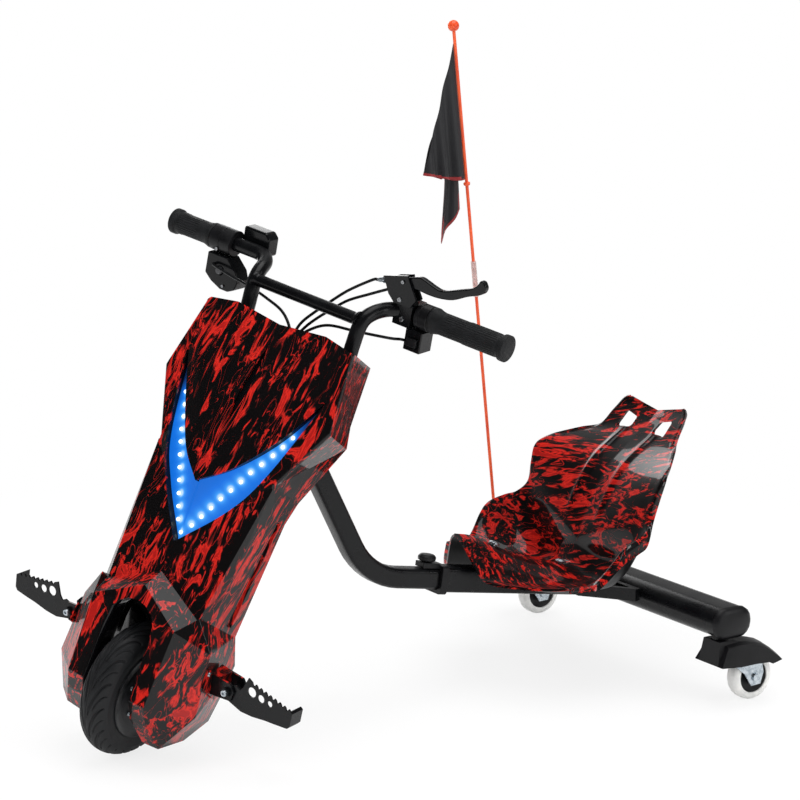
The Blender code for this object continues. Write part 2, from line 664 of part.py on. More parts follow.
def frame_pieces():
    """Inner rail, outer sleeve, collar with its clamp knob, and the cross tube."""
    outer = box_section(RAIL_WIDTH, RAIL_HEIGHT, RAIL_CORNER)
    inner = box_section(RAIL_WIDTH - 2 * RAIL_WALL, RAIL_HEIGHT - 2 * RAIL_WALL, RAIL_CORNER - RAIL_WALL)
    rail = shell_object("front_rail", swept(rail_path(), outer, inner), satin_black, length_adjust)
    cope = rod(
        steering_point(HEAD_TUBE_CENTRE - 0.12), steering_point(HEAD_TUBE_CENTRE + 0.12),
        HEAD_TUBE_RADIUS + TOUCH_GAP,
    )
    cut(rail, shell_object("cut_head", cope, None, length_adjust))
    front = [(-0.06, -0.20), (0.06, -0.20), (0.06, 0.0), (-0.06, 0.0)]
    cut(rail, shell_object("cut_head_front", axis_prism(front, 0.2, 0.6), None, length_adjust))

    hole_w = RAIL_WIDTH + 2 * RUNNING_GAP
    hole_h = RAIL_HEIGHT + 2 * RUNNING_GAP
    sleeve_w = hole_w + 2 * SLEEVE_WALL
    sleeve_h = hole_h + 2 * SLEEVE_WALL
    end = (CROSS_Y - RAIL_DATUM_Y) / math.cos(math.atan(RAIL_SLOPE))
    path = [rail_point(SLEEVE_START), rail_point(end)]
    tube = swept(
        path, box_section(sleeve_w, sleeve_h, SLEEVE_CORNER),
        box_section(hole_w, hole_h, RAIL_CORNER),
    )
    sleeve = shell_object("rear_rail", tube, satin_black, kart)
    cut(sleeve, shell_object("cut_cross", cross_bar(TOUCH_GAP, CROSS_HALF_LENGTH), None, kart))
    behind = block((-0.06, CROSS_Y, CROSS_Z - 0.06), (0.06, CROSS_Y + 0.06, CROSS_Z + 0.06))
    cut(sleeve, shell_object("cut_behind", behind, None, kart))

    lip_w, lip_h = sleeve_w + 2 * COLLAR_LIP, sleeve_h + 2 * COLLAR_LIP
    collar_start = SLEEVE_START - TOUCH_GAP - COLLAR_LENGTH
    ring = swept(
        [rail_point(collar_start), rail_point(SLEEVE_START - TOUCH_GAP)],
        box_section(lip_w, lip_h, SLEEVE_CORNER), box_section(hole_w, hole_h, RAIL_CORNER),
    )
    collar = shell_object("rail_collar", ring, black_plastic, kart)

    rail_top = RAIL_HEIGHT / 2
    knob_along = collar_start - 0.018
    foot = [
        (knob_along - 0.012, rail_top + TOUCH_GAP + RUNNING_GAP),
        (collar_start + 0.004, rail_top + TOUCH_GAP + RUNNING_GAP),
        (collar_start + 0.004, rail_top + 0.006), (collar_start - 0.002, rail_top + CLAMP_FOOT_HEIGHT),
        (knob_along - 0.012, rail_top + CLAMP_FOOT_HEIGHT),
    ]
    rings = [[rail_point(a, u, x) for a, u in foot] for x in (-0.012, 0.012)]
    cut(collar, shell_object("weld_clamp_foot", loft(rings), None, kart), "UNION")
    base = rail_point(knob_along, rail_top + CLAMP_FOOT_HEIGHT + TOUCH_GAP)
    knob = axis_empty("clamp_turn", base, rail_point(0, 1.0) - rail_point(0), kart)
    profile = [(0, 0), (0.008, 0), (0.014, 0.003), (0.0145, 0.008), (0.011, 0.012), (0, 0.013)]
    dial = turned(profile, base, rail_point(0, 1.0) - rail_point(0), 12)
    shell_object("clamp_knob", dial, black_plastic, knob, 20)

    bar = cross_bar(0.0, CROSS_HALF_LENGTH, CROSS_WALL)
    cross = shell_object("cross_tube", bar, satin_black, kart)
    weld_line = shell_object("cut_weld_line", cross_bar(-WELD_BITE, CROSS_HALF_LENGTH), None, kart)
    for side, word in ((1, "left"), (-1, "right")):
        start = side * (CROSS_HALF_LENGTH + TOUCH_GAP)
        rings = []
        for depth, shrink in ((0.0, 0.0), (0.005, 0.001), (0.008, 0.004), (CAP_LENGTH, 0.009)):
            section = box_section(
                CROSS_DEPTH + 0.002 - 2 * shrink, CROSS_HEIGHT + 0.002 - 2 * shrink,
                CROSS_HEIGHT / 2 - shrink - 0.001, 4,
            )
            rings.append([(start + side * depth, CROSS_Y + a, CROSS_Z + b) for a, b in section])
        shell_object(f"end_cap_{word}", loft(rings), black_plastic, kart)

        corner_x = side * (sleeve_w / 2 + RUNNING_GAP)
        front_y = CROSS_Y - CROSS_DEPTH / 2
        far_x = corner_x + side * GUSSET_REACH
        tip_x = corner_x + side * 3 * GUSSET_WALL
        outline = [
            (corner_x, front_y - GUSSET_RUN), (corner_x, front_y + 0.014), (far_x, front_y + 0.014),
            (far_x, front_y - GUSSET_WALL), (tip_x, front_y - GUSSET_RUN),
        ]
        plate = shell_object(f"weld_gusset_{word}", prism(outline, "Z", GUSSET_LOW, GUSSET_HIGH), None, kart)
        near_x = corner_x + side * GUSSET_WALL
        pocket = [
            (near_x, front_y - GUSSET_RUN + 3 * GUSSET_WALL), (near_x, front_y - GUSSET_WALL),
            (far_x - side * 4 * GUSSET_WALL, front_y - GUSSET_WALL),
            (far_x - side * 4 * GUSSET_WALL, front_y - 2 * GUSSET_WALL),
        ]
        hollow = prism(pocket, "Z", GUSSET_LOW + GUSSET_WALL, GUSSET_HIGH + GUSSET_WALL)
        cut(plate, shell_object(f"cut_gusset_{word}", hollow, None, kart))
        cut(plate, weld_line)
        cut(cross, plate, "UNION")
        stem = rod(
            (side * CASTER_X, CASTER_Y, CASTER_TOP_Z + RUNNING_GAP), (side * CASTER_X, CASTER_Y, CROSS_Z),
            CASTER_STEM_RADIUS,
        )
        stub = shell_object(f"weld_caster_stem_{word}", stem, None, kart)
        cut(stub, weld_line)
        cut(cross, stub, "UNION")


def cross_bar(grow, half_length, wall=None):
    """The flat oval cross tube, open at its ends where it has a wall."""
    width, height = CROSS_DEPTH + 2 * grow, CROSS_HEIGHT + 2 * grow
    path = [(-half_length, CROSS_Y, CROSS_Z), (half_length, CROSS_Y, CROSS_Z)]
    corner = height / 2 - 0.001
    outer = [(a, b) for a, b in box_section(width, height, corner, 4)]
    inner = None
    if wall:
        inner = [(a, b) for a, b in box_section(width - 2 * wall, height - 2 * wall, corner - wall, 4)]

    def rings(section):
        return [[(x, y + a, z + b) for a, b in section] for x, y, z in path]
    if inner is None:
        return loft(rings(outer))
    return hollow_pair(rings(outer), rings(inner))


def hollow_pair(outer, inner):
    """Join an outer and an inner skin of two rings each into an open tube."""
    count = len(outer[0])
    bm = bmesh.new()
    o = [[bm.verts.new(p) for p in ring] for ring in outer]
    n = [[bm.verts.new(p) for p in ring] for ring in inner]
    for k in range(count):
        m = (k + 1) % count
        bm.faces.new((o[0][k], o[0][m], o[1][m], o[1][k]))
        bm.faces.new((n[0][m], n[0][k], n[1][k], n[1][m]))
        bm.faces.new((o[0][m], o[0][k], n[0][k], n[0][m]))
        bm.faces.new((o[1][k], o[1][m], n[1][m], n[1][k]))
    return bm


# Casters

HOOD_SIDE = [
    # behind the stem, height, half width, crown
    (-0.0180, 0.0680, 0.0330, 0.0000), (-0.0020, 0.0965, 0.0270, 0.0060), (0.0220, 0.0985, 0.0285, 0.0060),
    (0.0400, 0.0970, 0.0295, 0.0060), (0.0550, 0.0935, 0.0298, 0.0065), (0.0700, 0.0880, 0.0300, 0.0075),
    (0.0840, 0.0795, 0.0305, 0.0085), (0.0960, 0.0700, 0.0310, 0.0090), (0.1030, 0.0640, 0.0315, 0.0080),
    (0.0940, 0.0620, 0.0320, 0.0000), (0.0840, 0.0600, 0.0322, 0.0000), (0.0760, 0.0635, 0.0324, 0.0000),
    (0.0500, 0.0650, 0.0326, 0.0000), (0.0200, 0.0645, 0.0328, 0.0000),
]
HOOD_TOP = 8
HOOD_OPEN_Z = 0.040


def hood_skin(x, wall=0.0):
    """The hood's outer skin, or the space inside it, with a flat neck that the stem stands on."""
    neck_edge = NECK_SHARE - wall / 3
    shares = [-1.0, -neck_edge - 0.04, -neck_edge, 0.0, neck_edge, neck_edge + 0.04, 1.0]
    neck_top = FORK_TOP_Z + TOUCH_GAP if wall else CASTER_TOP_Z
    points = HOOD_SIDE
    if wall:
        low_half = HOOD_SIDE[0][2] - wall
        front, tail = HOOD_SIDE[0][0] + wall, HOOD_SIDE[HOOD_TOP][0] - wall
        top = [
            (min(behind, tail), z - wall, half - wall, crown)
            for behind, z, half, crown in HOOD_SIDE[1:HOOD_TOP + 1]
        ]
        top[0] = (top[0][0] + wall, *top[0][1:])
        points = [(front, HOOD_OPEN_Z, low_half, 0.0)] + top + [(tail, HOOD_OPEN_Z, low_half, 0.0)]
    rings = []
    for share in shares:
        ring = []
        for index, (behind, z, half, crown) in enumerate(points):
            height = z + crown * (1 - share * share)
            if abs(share) <= neck_edge and index in (1, 2):
                behind = (NECK_HALF_LENGTH - wall) * (-1, 1)[index - 1]
                height = neck_top
            ring.append((x + share * half, CASTER_Y + behind, min(height, neck_top)))
        rings.append(ring)
    return loft(rings)


def caster_pieces(side, word):
    """One swivel caster: stem, hood, fork plates, urethane wheel and axle."""
    x = side * CASTER_X
    swivel = axis_empty(f"caster_{word}_swivel", (x, CASTER_Y, CASTER_TOP_Z), (0, 0, 1), kart)
    axle_y = CASTER_Y + CASTER_TRAIL
    spin = axis_empty(f"caster_{word}_spin", (x, axle_y, CASTER_RADIUS), (1, 0, 0), swivel)

    hood = shell_object(f"caster_hood_{word}", hood_skin(x), black_plastic, swivel, 25)
    cut(hood, shell_object(f"cut_hood_{word}", hood_skin(x, FENDER_WALL), None, swivel))

    gap = CASTER_WIDTH / 2 + 0.0015
    fork_top = NECK_HALF_LENGTH - FENDER_WALL - 2 * RUNNING_GAP
    fork = [
        (CASTER_Y - fork_top, FORK_TOP_Z), (CASTER_Y + fork_top, FORK_TOP_Z), (CASTER_Y + 0.045, 0.0930),
        (axle_y + 0.010, 0.0735), (axle_y + 0.016, CASTER_RADIUS + 0.006),
        (axle_y + 0.010, CASTER_RADIUS - 0.012), (axle_y - 0.008, CASTER_RADIUS - 0.013),
        (axle_y - 0.022, CASTER_RADIUS + 0.008), (CASTER_Y - fork_top, 0.0850),
    ]
    yoke = prism(fork, "X", x - gap - FORK_PLATE, x + gap + FORK_PLATE)
    bracket = shell_object(f"caster_fork_{word}", yoke, zinc, swivel, 20)
    slot_top = FORK_TOP_Z - 0.004
    slot = [
        (CASTER_Y - 0.05, 0.0), (CASTER_Y - 0.05, slot_top), (CASTER_Y + 0.14, slot_top),
        (CASTER_Y + 0.14, 0.0),
    ]
    cut(bracket, shell_object(f"cut_fork_{word}", prism(slot, "X", x - gap, x + gap), None, swivel))

    centre = (x, axle_y, CASTER_RADIUS)
    half = CASTER_WIDTH / 2
    bore = CASTER_AXLE_RADIUS + RUNNING_GAP
    side_profile = [
        (bore, -half), (0.010, -half), (0.012, -half + 0.003), (CASTER_HUB_RADIUS, -half + 0.003),
        (CASTER_HUB_RADIUS, -half), (CASTER_RADIUS - 0.004, -half), (CASTER_RADIUS, -half + 0.005),
    ]
    profile = side_profile + [(r, -a) for r, a in side_profile[::-1]]
    shell_object(f"caster_wheel_{word}", turned(profile, centre, (1, 0, 0), CASTER_SIDES), white_wheel, spin)
    outer = gap + FORK_PLATE - 0.0005
    pin = [
        (0, -outer - 0.004), (0.0065, -outer - 0.004), (0.0065, -outer), (CASTER_AXLE_RADIUS, -outer),
        (CASTER_AXLE_RADIUS, outer), (0.0065, outer), (0.0065, outer + 0.004), (0, outer + 0.004),
    ]
    axle = shell_object(f"weld_caster_axle_{word}", turned(pin, centre, (1, 0, 0), 16), None, swivel)
    cut(bracket, axle, "UNION")


# Seat

SEAT_ROWS = [
    # centre y, centre z, rim x, rim y, rim z, floor z, lip x, lip y, lip z
    (0.5670, 0.2500, 0.171, 0.665, 0.187, 0.181, 0.002, -0.001, -0.007),
    (0.6000, 0.2420, 0.174, 0.690, 0.187, 0.176, 0.003, 0.000, -0.008),
    (0.6410, 0.2215, 0.177, 0.714, 0.190, 0.167, 0.004, 0.000, -0.009),
    (0.7000, 0.1940, 0.184, 0.740, 0.224, 0.161, 0.005, 0.000, -0.018),
    (0.7450, 0.1815, 0.184, 0.757, 0.241, 0.160, 0.006, 0.000, -0.022),
    (0.7870, 0.1725, 0.180, 0.785, 0.250, 0.162, 0.006, 0.000, -0.022),
    (0.8000, 0.1920, 0.173, 0.805, 0.255, 0.186, 0.006, 0.002, -0.018),
    (0.8070, 0.2220, 0.163, 0.820, 0.272, 0.222, 0.005, 0.006, -0.002),
    (0.8220, 0.2580, 0.166, 0.828, 0.303, 0.258, 0.004, 0.008, 0.000),
    (0.8450, 0.3000, 0.168, 0.837, 0.330, 0.300, 0.004, 0.008, 0.001),
    (0.8680, 0.3300, 0.158, 0.853, 0.344, 0.330, 0.002, 0.007, 0.003),
    (0.8980, 0.3540, 0.122, 0.892, 0.358, 0.354, 0.001, 0.005, 0.005),
    (0.9220, 0.3720, 0.097, 0.916, 0.369, 0.372, 0.003, 0.006, 0.002),
    (0.9420, 0.3870, 0.088, 0.937, 0.393, 0.387, 0.003, 0.005, 0.002),
    (0.9540, 0.3980, 0.0825, 0.949, 0.407, 0.398, 0.002, 0.004, 0.003),
    (0.9620, 0.4050, 0.0730, 0.957, 0.4185, 0.405, 0.002, 0.004, 0.003),
]
SEAT_COLUMNS = [0.0, 0.10, 0.20, 0.31, 0.43, 0.55, 0.67, 0.79, 0.90, 1.0]
SEAT_BOLTS = [
    # row before, row after, share of the way between them
    (1, 3, 0.41), (4, 5, 0.62),
]


def seat_surface():
    """Points of the seat's upper face: rows from the front rim to the top, columns from the middle out."""
    rows = []
    for index, (cy, cz, rx, ry, rz, floor, lx, ly, lz) in enumerate(SEAT_ROWS):
        row = []
        for share in SEAT_COLUMNS:
            x = rx * share
            near = min(1.0, x / RIDGE_HALF_WIDTH)
            ridge = math.cos(math.pi / 2 * near) ** 2
            if index < 7:
                rise = max(0.0, (share - 0.55) / 0.45) ** 2
                z = floor + (cz - floor) * ridge + (rz - floor) * rise
                y = cy + (ry - cy) * share ** 1.4
            else:
                z = cz + (rz - cz) * share
                y = cy + (ry - cy) * share ** 2
            row.append((x, y, z))
        row.append((rx + lx, ry + ly, rz + lz))
        rows.append(row)
    return rows


def seat_sheet(drop=0.0, raised=None):
    """The seat's upper face, sunk by a distance; with a raise it becomes a solid above that face."""
    bm = bmesh.new()
    grid = []
    for row in seat_surface():
        left = [bm.verts.new((-x, y, z)) for x, y, z in row[:0:-1]]
        right = [bm.verts.new(p) for p in row]
        grid.append(left + right)
    for lower, upper in zip(grid, grid[1:]):
        for k in range(len(lower) - 1):
            bm.faces.new((lower[k], lower[k + 1], upper[k + 1], upper[k]))
    face_toward(bm, (0, 0, 1))
    moves = [(vert, vert.normal * (drop * vert.calc_shell_factor())) for vert in bm.verts]
    for vert, move in moves:
        vert.co -= move
    if raised:
        upper = [[bm.verts.new(vert.co + Vector((0, 0, raised))) for vert in row] for row in grid]
        for low, high in zip(upper, upper[1:]):
            for k in range(len(low) - 1):
                bm.faces.new((low[k + 1], low[k], high[k], high[k + 1]))
        rim, lid = [
            rows[0] + [row[-1] for row in rows[1:]] + rows[-1][-2::-1] + [row[0] for row in rows[-2:0:-1]]
            for rows in (grid, upper)
        ]
        for k in range(len(rim)):
            m = (k + 1) % len(rim)
            bm.faces.new((rim[m], rim[k], lid[k], lid[m]))
    return bm


def seat_pieces():
    """Moulded saddle seat, its bracket on the rail, and two bolts."""
    seat = shell_object("seat_shell", seat_sheet(), gloss_shell, kart, 50, toward=(0, 0, 1))
    wall = seat.modifiers.new("wall", "SOLIDIFY")
    wall.thickness = SEAT_WALL
    wall.offset = -1.0
    wall.use_even_offset = True
    for side, word in ((1, "left"), (-1, "right")):
        outline = [(side * a, b) for a, b in ((0.028, 0.376), (0.029, 0.391), (0.060, 0.397), (0.061, 0.373))]
        grip = prism(outline, "Y", 0.88, 0.99)
        cut(seat, shell_object(f"cut_seat_grip_{word}", grip, None, kart))

    sleeve_top = RAIL_HEIGHT / 2 + RUNNING_GAP + SLEEVE_WALL

    def top_of_rail(y):
        slope = math.atan(RAIL_SLOPE)
        along = (y - RAIL_DATUM_Y - sleeve_top * math.sin(slope)) / math.cos(slope)
        return rail_point(along, sleeve_top).z + TOUCH_GAP
    foot_front, foot_rear = 0.622, 0.796
    post_back, post_front = 0.668, 0.752
    outline = [
        (foot_front, top_of_rail(foot_front)), (foot_rear, top_of_rail(foot_rear)),
        (foot_rear, 0.1720), (post_front + 0.004, 0.1800),
        (post_front, top_of_rail(post_front) + STAND_FOOT_HEIGHT),
        (post_back, top_of_rail(post_back) + STAND_FOOT_HEIGHT),
        (post_back - 0.012, 0.2200), (foot_front + 0.006, 0.2330),
    ]
    stand = prism(outline, "X", -STAND_HALF_WIDTH, STAND_HALF_WIDTH)
    bracket = shell_object("seat_bracket", stand, satin_black, kart)
    underside = shell_object("cut_seat_underside", seat_sheet(SEAT_WALL + 3 * TOUCH_GAP, 0.06), None, kart)
    cut(bracket, underside)
    for word, (before, after, share) in zip(("front", "rear"), SEAT_BOLTS):
        start = Vector((0, *SEAT_ROWS[before][:2]))
        run = Vector((0, *SEAT_ROWS[after][:2])) - start
        spot = start + run * share
        up = Vector((0, -run.z, run.y)).normalized()
        reach = 0.030 if word == "front" else 0.010
        hole = rod(spot - up * (reach + 0.001), spot + up * 0.05, SEAT_BOLT_RADIUS + TOUCH_GAP, 16)
        cutter = shell_object(f"cut_seat_bolt_{word}", hole, None, kart)
        cut(seat, cutter)
        cut(bracket, cutter)
        profile = [
            (0, -reach), (SEAT_BOLT_RADIUS, -reach), (SEAT_BOLT_RADIUS, SEAT_BOLT_LIFT),
            (SEAT_BOLT_HEAD_RADIUS, SEAT_BOLT_LIFT), (SEAT_BOLT_HEAD_RADIUS, SEAT_BOLT_LIFT + 0.002),
            (0.005, SEAT_BOLT_LIFT + 0.0045), (0, SEAT_BOLT_LIFT + 0.005),
        ]
        shell_object(f"seat_bolt_{word}", turned(profile, spot, up, 16), zinc, kart)


# Flag

def flag_pieces():
    """Socket, two-piece pole with its clear joiner, pennant, ring and ball."""
    def along(z_low, z_high):
        return flag_point(z_low), flag_point(z_high)
    socket_low, socket_high = 0.118, 0.178
    low, high = along(socket_low, socket_high)
    direction = high - low
    length = direction.length
    bore = POLE_RADIUS + TOUCH_GAP
    profile = [
        (0, 0), (SOCKET_RADIUS, 0), (SOCKET_RADIUS, length), (bore, length), (bore, 0.004), (0, 0.004),
    ]
    shell_object("flag_socket", turned(profile, low, direction, 16), satin_black, kart)
    foot, tip = along(socket_low + 0.0043, POLE_TOP_Z)
    ring_low, ring_high = [(flag_point(POLE_TOP_Z - drop) - foot).length for drop in (0.255, 0.249)]
    profile = [
        (0, 0), (POLE_RADIUS, 0), (POLE_RADIUS, ring_low), (0.0055, ring_low), (0.0055, ring_high),
        (POLE_RADIUS, ring_high), (POLE_RADIUS, (tip - foot).length), (0, (tip - foot).length),
    ]
    shell_object("flag_pole", turned(profile, foot, direction, 12), fibre_orange, kart)
    low, high = along(POLE_JOINT_Z - 0.030, POLE_JOINT_Z + 0.030)
    shell_object("flag_joiner", ring_bar(low, high, 0.0045, bore, 16), clear_sleeve, kart)

    centre = flag_point(POLE_TOP_Z + BALL_RADIUS * 0.7)
    steps = 8
    low_angle = math.asin(min(0.95, bore / BALL_RADIUS))
    profile = [(bore, -BALL_RADIUS * 0.7 + TOUCH_GAP), (0, -BALL_RADIUS * 0.7 + TOUCH_GAP)]
    ball = []
    for k in range(steps + 1):
        angle = low_angle + (math.pi - low_angle) * k / steps
        ball.append((BALL_RADIUS * math.sin(angle) if k < steps else 0.0, -BALL_RADIUS * math.cos(angle)))
    profile = [profile[1], profile[0]] + ball
    shell_object("flag_ball", turned(profile, centre, direction, 16), fibre_orange, kart)
    flag_cloth()


FLAG_FOLDS = [
    # across, then forward of the pole's skin and below its top: first the upper end, then the lower end
    (0.0000, 0.0000, 0.022, 0.0000, 0.245), (0.0045, 0.0134, 0.058, 0.0134, 0.246),
    (-0.0040, 0.0260, 0.092, 0.0260, 0.245), (0.0050, 0.0395, 0.128, 0.0395, 0.242),
    (-0.0030, 0.0520, 0.162, 0.0520, 0.240), (0.0050, 0.0648, 0.196, 0.0648, 0.237),
    (0.0000, 0.0765, 0.226, 0.0780, 0.235), (-0.0080, 0.0730, 0.219, 0.0740, 0.234),
    (-0.0120, 0.0600, 0.186, 0.0620, 0.236), (-0.0150, 0.0450, 0.164, 0.0500, 0.240),
    (-0.0120, 0.0280, 0.158, 0.0390, 0.244), (-0.0160, 0.0130, 0.155, 0.0290, 0.248),
    (-0.0140, 0.0100, 0.153, 0.0490, 0.347), (-0.0180, 0.0080, 0.150, 0.0345, 0.330),
    (-0.0120, 0.0060, 0.146, 0.0200, 0.313), (-0.0140, 0.0040, 0.142, 0.0055, 0.295),
]


def flag_cloth():
    """The pennant: down a slanting fold, then back behind itself with its tail below."""
    layers = 10
    bm = bmesh.new()
    columns = []
    for across, top_out, top, bottom_out, bottom in FLAG_FOLDS:
        column = []
        for k in range(layers + 1):
            share = k / layers
            z = POLE_TOP_Z - top - (bottom - top) * share
            out = POLE_RADIUS + 2 * TOUCH_GAP + top_out + (bottom_out - top_out) * share
            sway = across * (0.45 + 0.55 * share)
            column.append(bm.verts.new(flag_point(z, out, sway)))
        columns.append(column)
    for left, right in zip(columns, columns[1:]):
        for k in range(layers):
            bm.faces.new((left[k], left[k + 1], right[k + 1], right[k]))
    cloth = shell_object("flag_cloth", bm, flag_black, kart, 60)
    wall = cloth.modifiers.new("cloth", "SOLIDIFY")
    wall.thickness = CLOTH_THICKNESS
    wall.offset = 0.0


# Shell of the front unit

CORNERS = {
    "top_mid": (0.0, 0.2180, 0.6200), "top_peak": (0.0810, 0.2210, 0.6280),
    "top_side": (0.1343, 0.2180, 0.6195),
    "hood_high": (0.0, 0.1960, 0.5883), "hood_low": (0.0, 0.1180, 0.4760),
    "notch": (0.0, 0.0730, 0.4110), "inner_low": (0.0460, 0.1000, 0.4410),
    "inner_high": (0.0910, 0.1410, 0.4930),
    "tip": (0.1286, 0.1800, 0.5543),
    "facet_low": (0.0110, 0.1084, 0.4620), "facet_mid": (0.0480, 0.1273, 0.4893),
    "facet_high": (0.0770, 0.1484, 0.5197), "facet_top": (0.1070, 0.1754, 0.5585),
    "apex": (0.0, 0.0440, 0.3220), "outer_low": (0.0600, 0.0835, 0.3840),
    "outer_high": (0.0940, 0.1150, 0.4440), "shoulder": (0.1547, 0.1630, 0.5157),
    "waist": (0.1077, 0.1150, 0.4306), "beak_side": (0.0860, 0.0140, 0.2400),
    "beak": (0.0, 0.0260, 0.2810),
    "brow_mid": (0.0, -0.0070, 0.2680), "brow_side": (0.0760, -0.0250, 0.2306),
    "plate_low": (0.0719, -0.0642, 0.1216), "plate_bend": (0.0747, -0.0567, 0.0899),
    "foot_in": (0.0605, -0.0399, 0.0530), "foot_out": (0.0883, -0.0382, 0.0548),
    "pocket_top": (0.1000, -0.0030, 0.2550), "cheek_top": (0.0989, 0.0270, 0.2370),
    "cheek_high": (0.1200, 0.0084, 0.2034), "cheek_wide": (0.1292, -0.0173, 0.1157),
    "cheek_low": (0.1004, -0.0367, 0.0707),
    "rear_top": (0.1200, 0.2880, 0.5800), "rear_high": (0.1200, 0.2620, 0.4940),
    "rear_elbow": (0.1180, 0.2640, 0.4580), "rear_waist": (0.0990, 0.1930, 0.3820),
    "rear_mid": (0.0980, 0.1690, 0.3540), "rear_hip": (0.1000, 0.0870, 0.1990),
    "rear_out": (0.1000, 0.0980, 0.1490), "rear_low": (0.0900, 0.0870, 0.0930),
    "rear_knee": (0.0900, 0.0680, 0.0640),
    "rear_foot": (0.0900, 0.0160, 0.0500),
    "arch_top": (0.0, -0.0190, 0.2490), "arch_a": (0.0160, -0.0200, 0.2455), "arch_b": (0.0300, -0.0225, 0.2370),
    "arch_c": (0.0390, -0.0270, 0.2250), "arch_d": (0.0420, -0.0360, 0.2010), "arch_e": (0.0440, -0.0640, 0.1210),
    "arch_f": (0.0455, -0.0567, 0.0899),
}
PANELS = [
    ("top_mid", "hood_high", "hood_low", "notch", "facet_low", "facet_mid", "facet_high", "facet_top",
     "top_side", "top_peak"),
    ("notch", "inner_low", "facet_mid", "facet_low"), ("inner_low", "inner_high", "facet_high", "facet_mid"),
    ("inner_high", "tip", "facet_top", "facet_high"), ("tip", "top_side", "facet_top"),
    ("tip", "shoulder", "top_side"), ("outer_high", "waist", "shoulder", "tip"),
    ("outer_low", "waist", "outer_high"), ("outer_low", "beak_side", "waist"),
    ("apex", "beak_side", "outer_low"), ("apex", "beak", "beak_side"),
    ("beak", "brow_mid", "brow_side", "beak_side"),
    ("beak_side", "brow_side", "pocket_top"), ("beak_side", "pocket_top", "cheek_top"),
    ("brow_mid", "arch_top", "arch_a", "arch_b", "brow_side"), ("brow_side", "arch_b", "arch_c", "arch_d"),
    ("brow_side", "arch_d", "arch_e", "plate_low"), ("plate_low", "arch_e", "arch_f", "plate_bend"),
    ("plate_bend", "arch_f", "foot_in", "foot_out"),
    ("brow_side", "cheek_high", "pocket_top"), ("pocket_top", "cheek_high", "cheek_top"),
    ("brow_side", "plate_low", "cheek_wide", "cheek_high"),
    ("plate_low", "plate_bend", "cheek_low", "cheek_wide"),
    ("plate_bend", "foot_out", "cheek_low"),
    ("top_side", "shoulder", "rear_high", "rear_top"), ("shoulder", "rear_elbow", "rear_high"),
    ("shoulder", "waist", "rear_elbow"), ("waist", "rear_waist", "rear_elbow"),
    ("waist", "beak_side", "cheek_top", "rear_mid", "rear_waist"),
    ("cheek_top", "rear_hip", "rear_mid"), ("cheek_top", "cheek_high", "rear_hip"),
    ("cheek_high", "cheek_wide", "rear_out", "rear_hip"), ("cheek_wide", "rear_low", "rear_out"),
    ("cheek_wide", "cheek_low", "rear_knee", "rear_low"), ("cheek_low", "foot_out", "rear_foot", "rear_knee"),
]


def both_halves(panels):
    """Build panels of named corners and their mirror images, sharing the corners on the centre line."""
    bm = bmesh.new()
    made = {}

    def corner(name, side):
        x, y, z = CORNERS[name]
        key = (name, side if x > 1e-6 else 0)
        if key not in made:
            made[key] = bm.verts.new((side * x, y, z))
        return made[key]
    for names in panels:
        for side in (1, -1):
            bm.faces.new([corner(name, side) for name in (names if side > 0 else names[::-1])])
    return bm


def front_unit_shell():
    """The moulded front cover with its light lens."""
    bm = both_halves(PANELS)
    bmesh.ops.triangulate(bm, faces=[f for f in bm.faces if len(f.verts) > 3])
    cover = shell_object("front_cover", bm, gloss_shell, steering, 12, toward=(0, -1, 0))
    wall = cover.modifiers.new("wall", "SOLIDIFY")
    wall.thickness = SHELL_WALL
    wall.offset = -1.0
    wall.use_even_offset = True
    peg_hole = block((-0.16, 0.006, PEG_HINGE_Z - 0.006), (0.16, 0.038, PEG_HINGE_Z + 0.013))
    cut(cover, shell_object("cut_peg_window", peg_hole, None, steering))

    band = [
        ("apex", "outer_low", "inner_low", "notch"), ("outer_low", "outer_high", "inner_high", "inner_low"),
        ("outer_high", "tip", "inner_high"),
    ]
    lens = shell_object("light_lens", both_halves(band), lens_blue, steering, 20)
    shape_band(lens, -LENS_SINK, LENS_THICKNESS, 0.0010)


def shape_band(thing, lift, thickness, inset):
    """Sink the light band behind the cover's face, draw its edge in, and give it a thickness."""
    bm = bmesh.new()
    bm.from_mesh(thing.data)
    face_toward(bm, (0, -1, 0))
    moves = {}
    for vert in bm.verts:
        edges = [e for e in vert.link_edges if e.is_boundary]
        pull = Vector((0, 0, 0))
        for edge in edges:
            face = edge.link_faces[0]
            run = (edge.verts[1].co - edge.verts[0].co).normalized()
            inward = face.normal.cross(run)
            if inward.dot(face.calc_center_median() - edge.verts[0].co) < 0:
                inward = -inward
            pull += inward
        if len(edges) == 2:
            first, second = [e.other_vert(vert).co - vert.co for e in edges]
            half = max(0.15, math.sin(first.angle(second) / 2))
            pull = pull.normalized() * (inset / half)
        moves[vert] = vert.normal * lift + pull
    for vert, move in moves.items():
        vert.co += move
    bm.to_mesh(thing.data)
    bm.free()
    wall = thing.modifiers.new("wall", "SOLIDIFY")
    wall.thickness = thickness
    wall.offset = -1.0
    wall.use_even_offset = True


